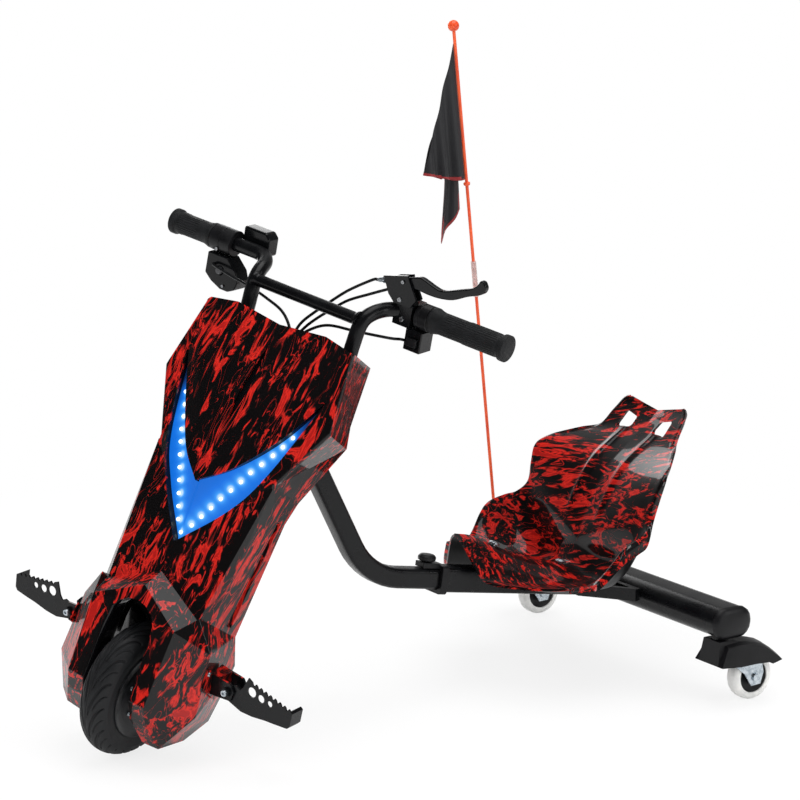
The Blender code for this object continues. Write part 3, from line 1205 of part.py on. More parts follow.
def rear_covers():
    """The black cover that closes the top and the upper back of the shell."""
    def edge(name, back=0.0):
        x, y, z = CORNERS[name]
        return Vector((x - SHELL_WALL - 2 * TOUCH_GAP, y - back, z))
    top_front = 0.2260
    deck = [
        (0.118, top_front, 0.6080), (edge("rear_top").x, 0.2860, 0.5745),
        (edge("rear_high").x, 0.2610, 0.5080),
    ]
    rings = []
    for side in (-1, 1):
        outer = [(side * deck[0][0], deck[0][1], deck[0][2]), (side * deck[1][0], deck[1][1], deck[1][2]),
                 (side * deck[2][0], deck[2][1], deck[2][2])]
        inner = [(side * deck[2][0], deck[2][1] - SHELL_WALL, deck[2][2]),
                 (side * deck[1][0], deck[1][1] - SHELL_WALL, deck[1][2] - SHELL_WALL),
                 (side * deck[0][0], deck[0][1], deck[0][2] - SHELL_WALL)]
        rings.append(outer + inner)
    upper = shell_object("upper_back_cover", loft(rings), black_plastic, steering, 20)
    for side, word in ((1, "left"), (-1, "right")):
        cut(upper, fat_bar(f"cut_riser_{word}", side, 3 * TOUCH_GAP))
    cable_hole = rod((*CABLE_HOLE, 0.560), (*CABLE_HOLE, 0.620), 0.010, 16)
    cut(upper, shell_object("cut_cable", cable_hole, None, steering))


def power_pack():
    """Battery case against the lower yoke's edge, and the motor controller strapped under it."""
    lean = math.atan(PACK_LEAN)
    forward = Vector((0, math.cos(lean), -math.sin(lean)))
    up = Vector((0, math.sin(lean), math.cos(lean)))
    yoke_level = HEAD_TUBE_CENTRE - HEAD_TUBE_LENGTH / 2 - RUNNING_GAP - YOKE_THICKNESS
    yoke_edge = steering_point(yoke_level, YOKE_FRONT)
    depth, height, _ = PACK_SIZE
    base = yoke_edge - forward * (depth / 2 + TOUCH_GAP) + up * (PACK_RISE - height)

    def leaned(start, size):
        depth, height, width = size
        shares = ((-1, 0), (1, 0), (1, 1), (-1, 1))
        corners = [start + forward * a * depth / 2 + up * b * height for a, b in shares]
        return loft([[p + Vector((s * width / 2, 0, 0)) for p in corners] for s in (-1, 1)])
    shell_object("battery_pack", leaned(base, PACK_SIZE), pack_blue, steering, 20)
    below = base - up * (CONTROLLER_SIZE[1] + TOUCH_GAP)
    shell_object("motor_controller", leaned(below, CONTROLLER_SIZE), alloy, steering, 20)


# Handlebar and what it carries

def bar_route(side):
    """The centre line of one bar, from the riser's foot to its open end."""
    route = smooth_path(mirrored(RISER_PATH, side), 2)
    route.append(Vector((side * BAR_END_X, GRIP_AXIS_Y, GRIP_AXIS_Z)))
    return route


def fat_bar(name, side, clearance):
    """A cutter along one bar that leaves the stated clearance."""
    section = round_section(BAR_RADIUS + clearance, BAR_SIDES)
    return shell_object(name, swept(bar_route(side), section), None, steering)


def handlebar_pieces():
    """Two bent bars with a crossbar between them."""
    for side, word in ((1, "left"), (-1, "right")):
        route = bar_route(side)
        sections = [round_section(radius, BAR_SIDES) for radius in (BAR_RADIUS, BAR_RADIUS - BAR_WALL)]
        shell_object(f"bar_{word}", swept(route, *sections), satin_black, steering)
    reach = 0.0985
    cross = rod((-reach, CROSSBAR_Y, CROSSBAR_Z), (reach, CROSSBAR_Y, CROSSBAR_Z), CROSSBAR_RADIUS, 16)
    crossbar = shell_object("crossbar", cross, satin_black, steering)
    for side, word in ((1, "left"), (-1, "right")):
        cut(crossbar, fat_bar(f"cut_crossbar_{word}", side, TOUCH_GAP))


def along_bar(profile, side, sides=ROUND_SIDES):
    """Turn a profile of (radius, distance out from the middle) about the grip axis."""
    return turned([(r, side * x) for r, x in profile], (0, GRIP_AXIS_Y, GRIP_AXIS_Z), (1, 0, 0), sides)


def grip_profile(inner_x, bore):
    """A rubber grip: flange, waist, straight part and end flange, closed over the bar's end."""
    end = BAR_END_X + TOUCH_GAP
    return [
        (bore, inner_x), (GRIP_FLANGE_RADIUS, inner_x), (GRIP_FLANGE_RADIUS, inner_x + 0.006),
        (GRIP_RADIUS, inner_x + 0.016), (GRIP_RADIUS, GRIP_OUTER_X - 0.010),
        (GRIP_FLANGE_RADIUS, GRIP_OUTER_X - 0.007), (GRIP_FLANGE_RADIUS, GRIP_OUTER_X - 0.001),
        (GRIP_FLANGE_RADIUS - 0.002, GRIP_OUTER_X), (0, GRIP_OUTER_X), (0, end), (bore, end),
    ]


def rider_left_controls():
    """Rubber grip with its lock collar, brake lever with bracket and cable adjuster, and switch box."""
    bore = BAR_RADIUS + TOUCH_GAP
    collar = [
        (bore, COLLAR_INNER_X), (GRIP_FLANGE_RADIUS, COLLAR_INNER_X), (GRIP_FLANGE_RADIUS, COLLAR_OUTER_X),
        (bore, COLLAR_OUTER_X),
    ]
    shell_object("grip_collar", along_bar(collar, 1), black_plastic, steering)
    profile = grip_profile(COLLAR_OUTER_X + TOUCH_GAP, bore)
    shell_object("left_grip", along_bar(profile, 1), rubber, steering)

    clamp = block((CLAMP_INNER_X, 0.3190, 0.6460), (CLAMP_OUTER_X, 0.3550, 0.6800))
    clamp = shell_object("weld_brake_clamp", clamp, None, steering)
    cut(clamp, fat_bar("cut_clamp", 1, TOUCH_GAP))

    half = BRACKET_THICKNESS / 2
    outline = [
        (0.1235, 0.6780), (0.1520, 0.6780), (0.1600, 0.6920), (0.1390, 0.7230), (0.0990, 0.7110),
        (0.1060, 0.6990), (0.1120, 0.6880),
    ]
    body = shell_object(
        "brake_bracket", prism(outline, "Y", LEVER_Y - half, LEVER_Y + half), black_plastic, steering,
    )
    slot_half = LEVER_THICKNESS / 2 + TOUCH_GAP
    mouth = [(0.1190, 0.7000), (0.1450, 0.6900), (0.1750, 0.6900), (0.1750, 0.7400), (0.1190, 0.7400)]
    cut(body, shell_object(
        "cut_lever_slot", prism(mouth, "Y", LEVER_Y - slot_half, LEVER_Y + slot_half), None, steering,
    ))
    pivot = (LEVER_PIVOT_X, LEVER_Y, LEVER_PIVOT_Z)
    brake = axis_empty("brake_pivot_axis", pivot, (0, 1, 0), steering)
    lever_outline = [
        (0.1225, 0.7155), (0.1400, 0.7205), (0.1580, 0.7260), (0.1700, 0.7240), (0.1850, 0.7200),
        (0.1990, 0.7190),
        (0.2250, 0.7290), (0.2440, 0.7370), (0.2530, 0.7450), (0.2570, 0.7530), (0.2630, 0.7530),
        (0.2680, 0.7450),
        (0.2660, 0.7370), (0.2580, 0.7310), (0.2400, 0.7230), (0.2180, 0.7110), (0.1960, 0.7060),
        (0.1760, 0.7050), (0.1580, 0.7060), (0.1400, 0.7050), (0.1250, 0.7050),
    ]
    lever = shell_object(
        "brake_lever",
        prism(lever_outline, "Y", LEVER_Y - LEVER_THICKNESS / 2, LEVER_Y + LEVER_THICKNESS / 2),
        black_plastic, brake, 30,
    )
    pin_hole = rod(
        (LEVER_PIVOT_X, LEVER_Y - 0.03, LEVER_PIVOT_Z), (LEVER_PIVOT_X, LEVER_Y + 0.03, LEVER_PIVOT_Z),
        LEVER_PIN_RADIUS + TOUCH_GAP, 16,
    )
    cut(lever, shell_object("cut_pin", pin_hole, None, steering))
    pin = rod(
        (LEVER_PIVOT_X, LEVER_Y - half - 0.001, LEVER_PIVOT_Z),
        (LEVER_PIVOT_X, LEVER_Y + half + 0.001, LEVER_PIVOT_Z),
        LEVER_PIN_RADIUS, 16,
    )
    cut(body, shell_object("weld_brake_pin", pin, None, steering), "UNION")
    cut(body, clamp, "UNION")

    lead = Vector((0.0195, 0, 0.0065)).normalized()
    seat = Vector((0.1015, LEVER_Y, 0.7040))
    adjuster = turned(
        [(0, 0), (0.0040, 0), (0.0040, 0.010), (0.0052, 0.010), (0.0052, 0.017), (0, 0.017)],
        seat - lead * 0.0170, lead, 12,
    )
    shell_object("cable_adjuster", adjuster, zinc, steering, 20)

    face_y, rear_y = 0.3220, 0.3520
    box = block((0.1460, face_y, 0.6130), (0.1750, rear_y, GRIP_AXIS_Z - GRIP_FLANGE_RADIUS - TOUCH_GAP))
    case = shell_object("switch_box", box, black_plastic, steering)
    low, high = Vector((0.1520, face_y - KEY_PROUD, 0.6210)), Vector((0.1690, face_y + KEY_SEATED, 0.6330))
    press = axis_empty("switch_press_axis", (low + high) / 2, (0, 1, 0), steering)
    shell_object("switch_key", block(low, high), black_plastic, press)
    slack = Vector((RUNNING_GAP, 0, RUNNING_GAP))
    well = block(low - slack, high + slack + Vector((0, KEY_TRAVEL + RUNNING_GAP, 0)))
    cut(case, shell_object("cut_switch_well", well, None, steering))


def rider_right_controls():
    """Twist throttle with its housing, the gauge behind the bar, and the horn pod."""
    bore = BAR_RADIUS + RUNNING_GAP
    twist = axis_empty("throttle_axis", (-THROTTLE_OUTER_X, GRIP_AXIS_Y, GRIP_AXIS_Z), (-1, 0, 0), steering)
    profile = grip_profile(THROTTLE_OUTER_X + TOUCH_GAP, bore)
    shell_object("throttle_grip", along_bar(profile, -1), rubber, twist)
    tight = BAR_RADIUS + TOUCH_GAP
    housing = [
        (tight, THROTTLE_INNER_X), (HOUSING_RADIUS, THROTTLE_INNER_X), (HOUSING_RADIUS, THROTTLE_OUTER_X),
        (tight, THROTTLE_OUTER_X),
    ]
    shell_object("throttle_housing", along_bar(housing, -1), black_plastic, steering)

    gauge = [
        (-0.1872, 0.6600), (-0.1872, 0.6930), (-0.1450, 0.6930), (-0.1370, 0.6850), (-0.1370, 0.6580),
        (-0.1450, 0.6540),
    ]
    back = GRIP_AXIS_Y + BAR_RADIUS + TOUCH_GAP
    shell_object("gauge_box", prism(gauge, "Y", back, back + 0.024), black_plastic, steering, 20)

    top = GRIP_AXIS_Z - HOUSING_RADIUS - TOUCH_GAP
    pod = [
        (-0.2270, top), (-0.1890, top), (-0.1700, 0.6280), (-0.1640, 0.6130), (-0.1690, 0.5990),
        (-0.1810, 0.5930), (-0.1960, 0.5930), (-0.2150, 0.6010), (-0.2280, 0.6110),
    ]
    face_y, rear_y = 0.3200, 0.3480
    case = shell_object("horn_pod", prism(pod, "Y", face_y, rear_y), black_plastic, steering, 20)
    x, z = -0.2000, 0.6220
    press = axis_empty("horn_press_axis", (x, face_y, z), (0, 1, 0), steering)
    button = rod((x, face_y - KEY_PROUD, z), (x, face_y + KEY_SEATED, z), HORN_BUTTON_RADIUS, 16)
    shell_object("horn_button", button, pale_key, press)
    well = rod(
        (x, face_y - KEY_PROUD, z), (x, face_y + KEY_SEATED + KEY_TRAVEL + RUNNING_GAP, z),
        HORN_BUTTON_RADIUS + RUNNING_GAP, 16,
    )
    cut(case, shell_object("cut_horn_well", well, None, steering))


def cables():
    """Leads from the controls down into the shell."""
    x, y = CABLE_HOLE
    spread = 0.005
    cable("brake_cable", [
        (0.0844, 0.3220, 0.6984), (0.0760, 0.3212, 0.6955), (0.0460, 0.3100, 0.6720),
        (0.0260, 0.2970, 0.6500),
        (0.0110, 0.2830, 0.6310), (-0.0010, 0.2700, 0.6120), (x, y - spread, 0.5900), (x, y - spread, 0.5780),
    ], CABLE_RADIUS, rubber, steering)
    cable("cutoff_lead", [
        (0.1089, 0.3235, 0.6926), (0.1015, 0.3232, 0.6886), (0.0780, 0.3160, 0.6750),
        (0.0500, 0.3060, 0.6580),
        (0.0300, 0.2970, 0.6390), (0.0160, 0.2880, 0.6240), (0.0040, 0.2780, 0.6080), (x, y + spread, 0.5900),
        (x, y + spread, 0.5780),
    ], CABLE_RADIUS, rubber, steering)
    cable("switch_lead", [
        (0.1452, 0.3330, 0.6220), (0.1350, 0.3300, 0.6220), (0.1250, 0.3160, 0.6230),
        (0.0810, 0.2960, 0.6220),
        (0.0360, 0.2880, 0.6180), (0.0130, 0.2760, 0.6060), (x + spread, y, 0.5900), (x + spread, y, 0.5780),
    ], CABLE_RADIUS, rubber, steering)
    cable("throttle_lead", [
        (-0.2100, 0.3194, 0.6300), (-0.2060, 0.3120, 0.6300), (-0.1670, 0.3060, 0.6260),
        (-0.1200, 0.2980, 0.6240),
        (-0.0810, 0.2900, 0.6200), (-0.0460, 0.2790, 0.6160), (-0.0230, 0.2690, 0.6060),
        (x - spread, y, 0.5900), (x - spread, y, 0.5780),
    ], CABLE_RADIUS, rubber, steering)


# Footpegs

def cheek_x(y, z, out=0.0):
    """How far out the shell's flat cheek lies at a place, plus a distance square to it."""
    corner, other, third = [Vector(CORNERS[name]) for name in ("cheek_high", "cheek_wide", "rear_out")]
    normal = (other - corner).cross(third - corner).normalized()
    if normal.x < 0:
        normal = -normal
    return corner.x + (out - normal.y * (y - corner.y) - normal.z * (z - corner.z)) / normal.x


def peg_pieces(side, word):
    """A bracket that reaches through the shell to the fork leg, and a folding serrated peg."""
    leg_face = LEG_PATH[0][0] + LEG_WIDTH / 2 + TOUCH_GAP
    front, rear = PEG_FRONT, PEG_FRONT + PEG_CLEVIS_DEPTH
    skin = (PEG_PLATE + 2 * TOUCH_GAP) / 2
    outline = [(-0.010, 0.160), (0.002, 0.186), (0.056, 0.149), (0.034, 0.123)]
    plate = shell_object(f"peg_bracket_{word}", loft([
        [(side * cheek_x(y, z, out), y, z) for y, z in outline] for out in (TOUCH_GAP, TOUCH_GAP + PEG_PLATE)
    ]), satin_black, steering)
    low, high = PEG_HINGE_Z - 0.004, PEG_HINGE_Z + 0.011
    strut = prism([
        (side * cheek_x(0.012, PEG_HINGE_Z, skin), 0.012), (side * cheek_x(0.030, PEG_HINGE_Z, skin), 0.030),
        (side * leg_face, 0.022), (side * leg_face, 0.004),
    ], "Z", low, high)
    cut(plate, shell_object(f"weld_strut_{word}", strut, None, steering), "UNION")

    nose = PEG_HINGE_X + 0.012
    block_outline = [
        (side * 0.1100, 0.1390), (side * 0.1100, 0.1740), (side * (nose - 0.008), 0.1700),
        (side * nose, PEG_HINGE_Z + 0.004), (side * (nose - 0.004), 0.1450),
    ]
    clevis = shell_object(
        f"weld_clevis_{word}", prism(block_outline, "Y", front, rear), None, steering, 20,
    )
    inside = prism([
        (side * 0.08, front - 0.01), (side * cheek_x(front - 0.01, PEG_HINGE_Z, skin), front - 0.01),
        (side * cheek_x(rear + 0.01, PEG_HINGE_Z, skin), rear + 0.01), (side * 0.08, rear + 0.01),
    ], "Z", 0.12, 0.20)
    cut(clevis, shell_object(f"cut_clevis_inside_{word}", inside, None, steering))
    pocket = prism([
        (side * (PEG_HINGE_X - 0.0158), 0.1200), (side * (PEG_HINGE_X - 0.0158), 0.1900),
        (side * 0.1800, 0.1900), (side * 0.1800, 0.1200),
    ], "Y", front + PEG_EAR, rear - PEG_EAR)
    cut(clevis, shell_object(f"cut_clevis_{word}", pocket, None, steering))
    cut(plate, clevis, "UNION")
    bolt = turned([
        (0, front - 0.0045), (0.0070, front - 0.0045), (0.0070, front + 0.0010),
        (PEG_PIN_RADIUS, front + 0.0010),
        (PEG_PIN_RADIUS, rear - 0.0010), (0.0065, rear - 0.0010), (0.0065, rear + 0.0050), (0, rear + 0.0050),
    ], (side * PEG_HINGE_X, 0, PEG_HINGE_Z), (0, 1, 0), 12)
    cut(plate, shell_object(f"weld_peg_bolt_{word}", bolt, None, steering, 20), "UNION")

    fold = axis_empty(
        f"peg_{word}_fold", (side * PEG_HINGE_X, (front + rear) / 2, PEG_HINGE_Z), (0, -side, 0), steering,
    )
    teeth = 8
    upper = [
        (0.1460, 0.1640), (0.1640, 0.1700), (0.1710, 0.1660), (0.1760, 0.1720), (0.1830, 0.1905),
        (0.1900, 0.1870),
    ]
    start, end = (0.1930, 0.1850), (0.2630, 0.1720)
    pitch = (end[0] - start[0]) / teeth
    for k in range(teeth):
        base = start[0] + pitch * k
        height = start[1] + (end[1] - start[1]) * k / teeth
        crest, dip = (base + pitch * 0.45, height + 0.0012), (base + pitch * 0.8, height - 0.001)
        upper += [(base, height - 0.003), crest, dip]
    lower = [
        (0.2650, 0.1700), (0.2640, 0.1500), (0.2600, 0.1450), (0.2370, 0.1420), (0.2220, 0.1405),
        (0.1990, 0.1365), (0.1780, 0.1355), (0.1620, 0.1400), (0.1440, 0.1450),
    ]
    front_face, rear_face = front + PEG_EAR + TOUCH_GAP, rear - PEG_EAR - TOUCH_GAP
    walls = prism([(side * a, b) for a, b in upper + lower], "Y", front_face, rear_face)
    peg = shell_object(f"footpeg_{word}", walls, satin_black, fold, 20)
    channel = prism([
        (side * 0.1200, 0.1300), (side * 0.1200, 0.2000), (side * 0.2620, 0.2000), (side * 0.2600, 0.1490),
        (side * 0.2220, 0.1440), (side * 0.2000, 0.1410), (side * 0.1760, 0.1250),
    ], "Y", front_face + PEG_SHEET, rear_face + 0.01)
    cut(peg, shell_object(f"cut_channel_{word}", channel, None, fold))
    holes = [(0.192, 0.1720, 0.0075), (0.209, 0.1690, 0.0060), (0.2250, 0.1680, 0.0045)]
    for index, (x, z, radius) in enumerate(holes):
        hole = rod((side * x, front - 0.02, z), (side * x, rear + 0.02, z), radius, 16)
        cut(peg, shell_object(f"cut_peg_hole_{word}_{index}", hole, None, fold))
    eye = rod(
        (side * PEG_HINGE_X, front - 0.02, PEG_HINGE_Z), (side * PEG_HINGE_X, rear + 0.02, PEG_HINGE_Z),
        PEG_PIN_RADIUS + TOUCH_GAP, 16,
    )
    cut(peg, shell_object(f"cut_peg_eye_{word}", eye, None, fold))


front_wheel_pieces()
fork_pieces()
frame_pieces()
front_unit_shell()
rear_covers()
power_pack()
handlebar_pieces()
rider_left_controls()
rider_right_controls()
cables()
for sign, name in ((1, "left"), (-1, "right")):
    peg_pieces(sign, name)
    caster_pieces(sign, name)
seat_pieces()
flag_pieces()
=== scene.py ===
"""The electric three-wheeled kart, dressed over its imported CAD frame."""
import json
import math

import bmesh
import bpy
from mathutils import Matrix, Quaternion, Vector
from mathutils.bvhtree import BVHTree


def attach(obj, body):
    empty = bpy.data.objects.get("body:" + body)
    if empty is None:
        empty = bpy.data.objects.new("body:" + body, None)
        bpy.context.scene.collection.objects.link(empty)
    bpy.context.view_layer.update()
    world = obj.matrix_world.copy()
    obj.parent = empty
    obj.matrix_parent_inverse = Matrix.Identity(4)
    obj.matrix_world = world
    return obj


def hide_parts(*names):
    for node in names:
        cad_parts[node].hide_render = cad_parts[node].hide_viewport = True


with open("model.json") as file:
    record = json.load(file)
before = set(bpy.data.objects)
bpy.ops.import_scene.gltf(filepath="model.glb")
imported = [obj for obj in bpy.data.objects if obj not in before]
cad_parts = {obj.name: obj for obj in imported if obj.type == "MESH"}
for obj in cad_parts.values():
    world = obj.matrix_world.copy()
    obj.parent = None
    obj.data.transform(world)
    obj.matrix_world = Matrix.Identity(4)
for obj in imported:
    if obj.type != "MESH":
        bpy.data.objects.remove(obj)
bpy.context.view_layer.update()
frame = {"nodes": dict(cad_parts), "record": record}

# Studio and camera.
# A pale floor, soft lamps and a bright background behind the kart. The camera stands in front of the kart
# and to the rider's left, a little above the seat, with a long lens.

CAMERA_SPOT, CAMERA_AIM = (3.018, -1.8738, 1.158), (0, 0.0268, 0.4712)
CAMERA_LENS, CAMERA_ROLL = 107.87, math.radians(0.2)
BEHIND_KART = (-0.846, 0.533, -0.15)
SKY_LIGHT, MIRRORED_SKY, MIRRORED_FLOOR = 0.62, (0.02, 0.32), 0.30
# The floor turns from its own shade to white between these distances from the kart
FLOOR_FADE = (0.7, 1.6)
# Where each lamp stands, its two sides in metres and its watts
LAMPS = {
    "lamp_left": ((0.6, -3.4, 2.6), (3.0, 3.0), 52), "lamp_top": ((0.3, 0.2, 3.4), (3.2, 2.2), 58),
    "lamp_right": ((2.8, 2.2, 1.9), (0.5, 2.0), 24), "lamp_rear": ((-2.8, 1.0, 1.5), (1.6, 1.6), 22),
    "lamp_edge": ((3.0, 0.8, 1.05), (0.5, 1.3), 9),
}
LAMPS_AIM = Vector((0, 0, 0.4))


def linear(hex_colour):
    """Turn an sRGB hex colour to linear red, green, blue and alpha."""
    channels = [int(hex_colour[i:i + 2], 16) / 255 for i in (0, 2, 4)]
    return (*[c / 12.92 if c <= 0.04045 else ((c + 0.055) / 1.055) ** 2.4 for c in channels], 1.0)


def feed(tree, node, links):
    """Set a node's inputs to values, to outputs, or to nodes, each of which stands for its first output."""
    for key, value in links.items():
        if isinstance(value, bpy.types.Node):
            value = value.outputs[0]
        if isinstance(value, bpy.types.NodeSocket):
            tree.links.new(value, node.inputs[key])
        else:
            node.inputs[key].default_value = value


def add(tree, kind, links=None, **settings):
    """Add a node with its settings and links; a shader node's kind goes without its prefix."""
    made = tree.nodes.new(kind if "Node" in kind else "ShaderNode" + kind)
    for key, value in settings.items():
        setattr(made, key, value)
    feed(tree, made, links or {})
    return made


def surface(name):
    """A new material, its node tree and its main shader."""
    made = bpy.data.materials.new(name)
    made.use_nodes = True
    return made, made.node_tree, made.node_tree.nodes["Principled BSDF"]


def place(name, data):
    """Put new data in the scene as an object."""
    made = bpy.data.objects.new(name, data)
    bpy.context.scene.collection.objects.link(made)
    return made


def place_bmesh(name, bm, finishes=()):
    """Put a bmesh in the scene as an object with its materials."""
    mesh = bpy.data.meshes.new(name)
    bm.to_mesh(mesh)
    bm.free()
    for finish in finishes:
        mesh.materials.append(finish)
    return place(name, mesh)


camera = place("camera", bpy.data.cameras.new("camera"))
camera.data.lens = CAMERA_LENS
camera.data.clip_end = 50
camera.location = CAMERA_SPOT
aim = Vector(CAMERA_AIM) - camera.location
camera.rotation_mode = "QUATERNION"
camera.rotation_quaternion = aim.to_track_quat("-Z", "Y") @ Quaternion((0, 0, 1), CAMERA_ROLL)
bpy.context.scene.camera = camera
bpy.context.scene.view_settings.view_transform = "Standard"

world = bpy.data.worlds.new("studio")
world.use_nodes = True
bpy.context.scene.world = world
tree = world.node_tree
tree.nodes.clear()
rays = add(tree, "LightPath")
heading = add(tree, "TexCoord").outputs["Generated"]
behind = add(tree, "VectorMath", {0: heading, 1: BEHIND_KART}, operation="DOT_PRODUCT")
backdrop = add(tree, "MapRange", {"Value": behind.outputs["Value"], "From Min": 0.05, "From Max": 0.85,
                                  "To Min": MIRRORED_SKY[0], "To Max": MIRRORED_SKY[1]})
fill = add(tree, "Mix", {"Factor": rays.outputs["Is Glossy Ray"], "A": SKY_LIGHT, "B": backdrop})
seen = add(tree, "Math", {0: rays.outputs["Is Camera Ray"], 1: rays.outputs["Is Transmission Ray"]},
           operation="MAXIMUM")
strength = add(tree, "Mix", {"Factor": seen, "A": fill, "B": 1.0})
sky = add(tree, "Background", {"Color": linear("ffffff"), "Strength": strength})
add(tree, "OutputWorld", {"Surface": sky})

for name, (spot, size, power) in LAMPS.items():
    light = bpy.data.lights.new(name, "AREA")
    light.shape, light.size, light.size_y, light.energy = "RECTANGLE", *size, power
    lamp = place(name, light)
    # The cover's black faces would mirror this big lamp as a grey veil
    lamp.visible_glossy = name != "lamp_left"
    lamp.location = spot
    lamp.rotation_euler = (LAMPS_AIM - lamp.location).to_track_quat("-Z", "Y").to_euler()

pale_floor, tree, _ = surface("pale_floor")
tree.nodes.clear()
rays = add(tree, "LightPath")
matt = add(tree, "BsdfDiffuse", {"Color": linear("f4f4f4")})
glow = add(tree, "Emission", {"Color": linear("ffffff"), "Strength": 1.0})
mirrored = add(tree, "Math", {0: rays.outputs["Is Glossy Ray"], 1: MIRRORED_FLOOR}, operation="MULTIPLY")
seen = add(tree, "Math", {0: rays.outputs["Is Camera Ray"], 1: mirrored}, operation="MAXIMUM")
far = add(tree, "VectorMath", {0: add(tree, "TexCoord").outputs["Object"]}, operation="LENGTH")
white = add(tree, "MapRange", {"Value": far.outputs["Value"], "From Min": FLOOR_FADE[0],
                               "From Max": FLOOR_FADE[1], "To Min": 0.80, "To Max": 1.0})
share = add(tree, "Math", {0: seen, 1: white}, operation="MULTIPLY")
mixed = add(tree, "MixShader", {0: share, 1: matt, 2: glow})
add(tree, "OutputMaterial", {"Surface": mixed})
bm = bmesh.new()
bmesh.ops.create_grid(bm, x_segments=1, y_segments=1, size=12)
floor = place_bmesh("floor", bm, [pale_floor])
floor.location.z = -0.0004

# Front shell.
# One 3 mm thick ABS moulding with crisp facets, a channel down each side and a leaf-shaped slot in its
# hood. It is water-transfer printed in red flame streaks over black, lacquered, and turns with the wheel.

KART_MIDDLE = 0.4390
PIVOT, AXLE = Vector((0, 0.0495, 0.1015)), Vector((0, 0, 0.1018))
RAKE, STEERED = math.radians(30.7), math.radians(26.1)
HEAD_AXIS = Vector((0, math.sin(RAKE), math.cos(RAKE)))
# From the kart's drawing, straight ahead and with its origin under the front wheel, to the part's frame
KART = Matrix.Translation((0, -KART_MIDDLE, 0))
FRONT = KART @ Matrix.Translation(PIVOT) @ Matrix.Rotation(STEERED, 4, HEAD_AXIS) @ Matrix.Translation(-PIVOT)
NODE_BODY = {node: body for body, nodes in frame["record"]["behaviour"]["bodies"].items() for node in nodes}
NODE_SLOT = {row["node"]: row["material_slot"] for row in frame["record"]["subparts"]}


def set_stops(ramp, stops):
    """Give a colour ramp its stops, each a position and an sRGB hex colour."""
    for position, _ in stops[1:-1]:
        ramp.elements.new(position)
    for stop, (position, colour) in zip(ramp.elements, stops):
        stop.position, stop.color = position, linear(colour)


def flame_lacquer(name, pose, flow, fuller=(0.46, 0.02, 0.06)):
    """Black ABS with red flame streaks under clear lacquer; flow is the way the streaks run on the piece.

    The print grows fuller from the first height to the second, by the share given last. Its tongues are about
    14 mm across and 4 times as long and sway over 45 mm. Thin lines loop over 23 mm, in patches of 30 mm."""
    made, tree, shader = surface(name)
    here, back = add(tree, "TexCoord").outputs["Object"], pose.inverted()
    local = add(tree, "Mapping", {"Vector": here, "Location": back.translation, "Rotation": back.to_euler()})
    along = Vector(flow).rotation_difference(Vector((0, 1, 0)))
    lined = add(tree, "Mapping", {"Vector": local, "Rotation": along.to_euler()})
    drawn = add(tree, "Mapping", {"Vector": lined, "Scale": (1.0, 0.24, 1.0)})
    sway = add(tree, "TexNoise", {"Vector": drawn, "Scale": 22.0, "Detail": 2.0})
    centred = add(tree, "VectorMath", {0: sway.outputs["Color"], 1: (0.5, 0.5, 0.5)}, operation="SUBTRACT")
    pushed = add(tree, "VectorMath", {0: centred, "Scale": 0.040}, operation="SCALE")
    warped = add(tree, "VectorMath", {0: drawn, 1: pushed}, operation="ADD")
    tongues = add(tree, "TexNoise", {
        "Vector": warped, "Scale": 74.0, "Detail": 3.5, "Roughness": 0.56, "Distortion": 1.1})
    loops = add(tree, "TexNoise", {"Vector": warped, "Scale": 44.0, "Detail": 1.5, "Distortion": 1.6})
    patches = add(tree, "TexNoise", {"Vector": drawn, "Scale": 33.0, "Detail": 1.5})
    height = add(tree, "SeparateXYZ", {0: local}).outputs["Z"]
    low = add(tree, "MapRange", {"Value": height, "From Min": fuller[0], "From Max": fuller[1],
                                 "To Min": 0.0, "To Max": fuller[2]})
    filling = add(tree, "Math", {0: patches, 1: low}, operation="ADD")
    start = add(tree, "MapRange", {
        "Value": filling, "From Min": 0.36, "From Max": 0.64, "To Min": 0.585, "To Max": 0.480})
    over = add(tree, "Math", {0: tongues, 1: start}, operation="SUBTRACT")
    solid = add(tree, "Math", {0: over, 1: 0.13}, operation="DIVIDE")
    off = add(tree, "Math", {0: loops, 1: 0.5}, operation="SUBTRACT")
    away = add(tree, "Math", {0: off}, operation="ABSOLUTE")
    thin = add(tree, "MapRange", {
        "Value": filling, "From Min": 0.40, "From Max": 0.60, "To Min": 0.0, "To Max": 0.026})
    least = add(tree, "Math", {0: thin, 1: 0.0002}, operation="MAXIMUM")
    share = add(tree, "Math", {0: away, 1: least}, operation="DIVIDE")
    thread = add(tree, "Math", {0: 0.62, 1: share}, operation="SUBTRACT")
    printed = add(tree, "Math", {0: solid, 1: thread}, operation="MAXIMUM")
    brush = add(tree, "Mapping", {"Vector": lined, "Scale": (1.0, 0.12, 1.0)})
    wisps = add(tree, "TexNoise", {"Vector": brush, "Scale": 230.0, "Detail": 3.0})
    frayed = add(tree, "Math", {0: wisps, 1: 0.9, 2: -0.45}, operation="MULTIPLY_ADD")
    flame = add(tree, "Math", {0: printed, 1: frayed}, operation="ADD")
    colour = add(tree, "ValToRGB", {0: flame})
    set_stops(colour.color_ramp, [(0.0, "080607"), (0.12, "250706"), (0.30, "6e0d0a"), (0.50, "b4180f"),
                                  (0.72, "cf2216"), (1.0, "a0120d")])
    wave = add(tree, "TexNoise", {"Vector": lined, "Scale": 14.0, "Detail": 1.0})
    peel = add(tree, "Bump", {"Height": wave, "Strength": 0.06, "Distance": 0.002})
    feed(tree, shader, {"Base Color": colour, "Roughness": 0.45, "Specular IOR Level": 0.10,
                        "Coat Weight": 0.55, "Coat Roughness": 0.04, "Normal": peel, "Coat Normal": peel})
    return made


def shade(mesh, sharp):
    """Shade a mesh smooth, apart from edges sharper than an angle in degrees."""
    mesh.shade_smooth()
    mesh.set_sharp_from_angle(angle=math.radians(sharp))


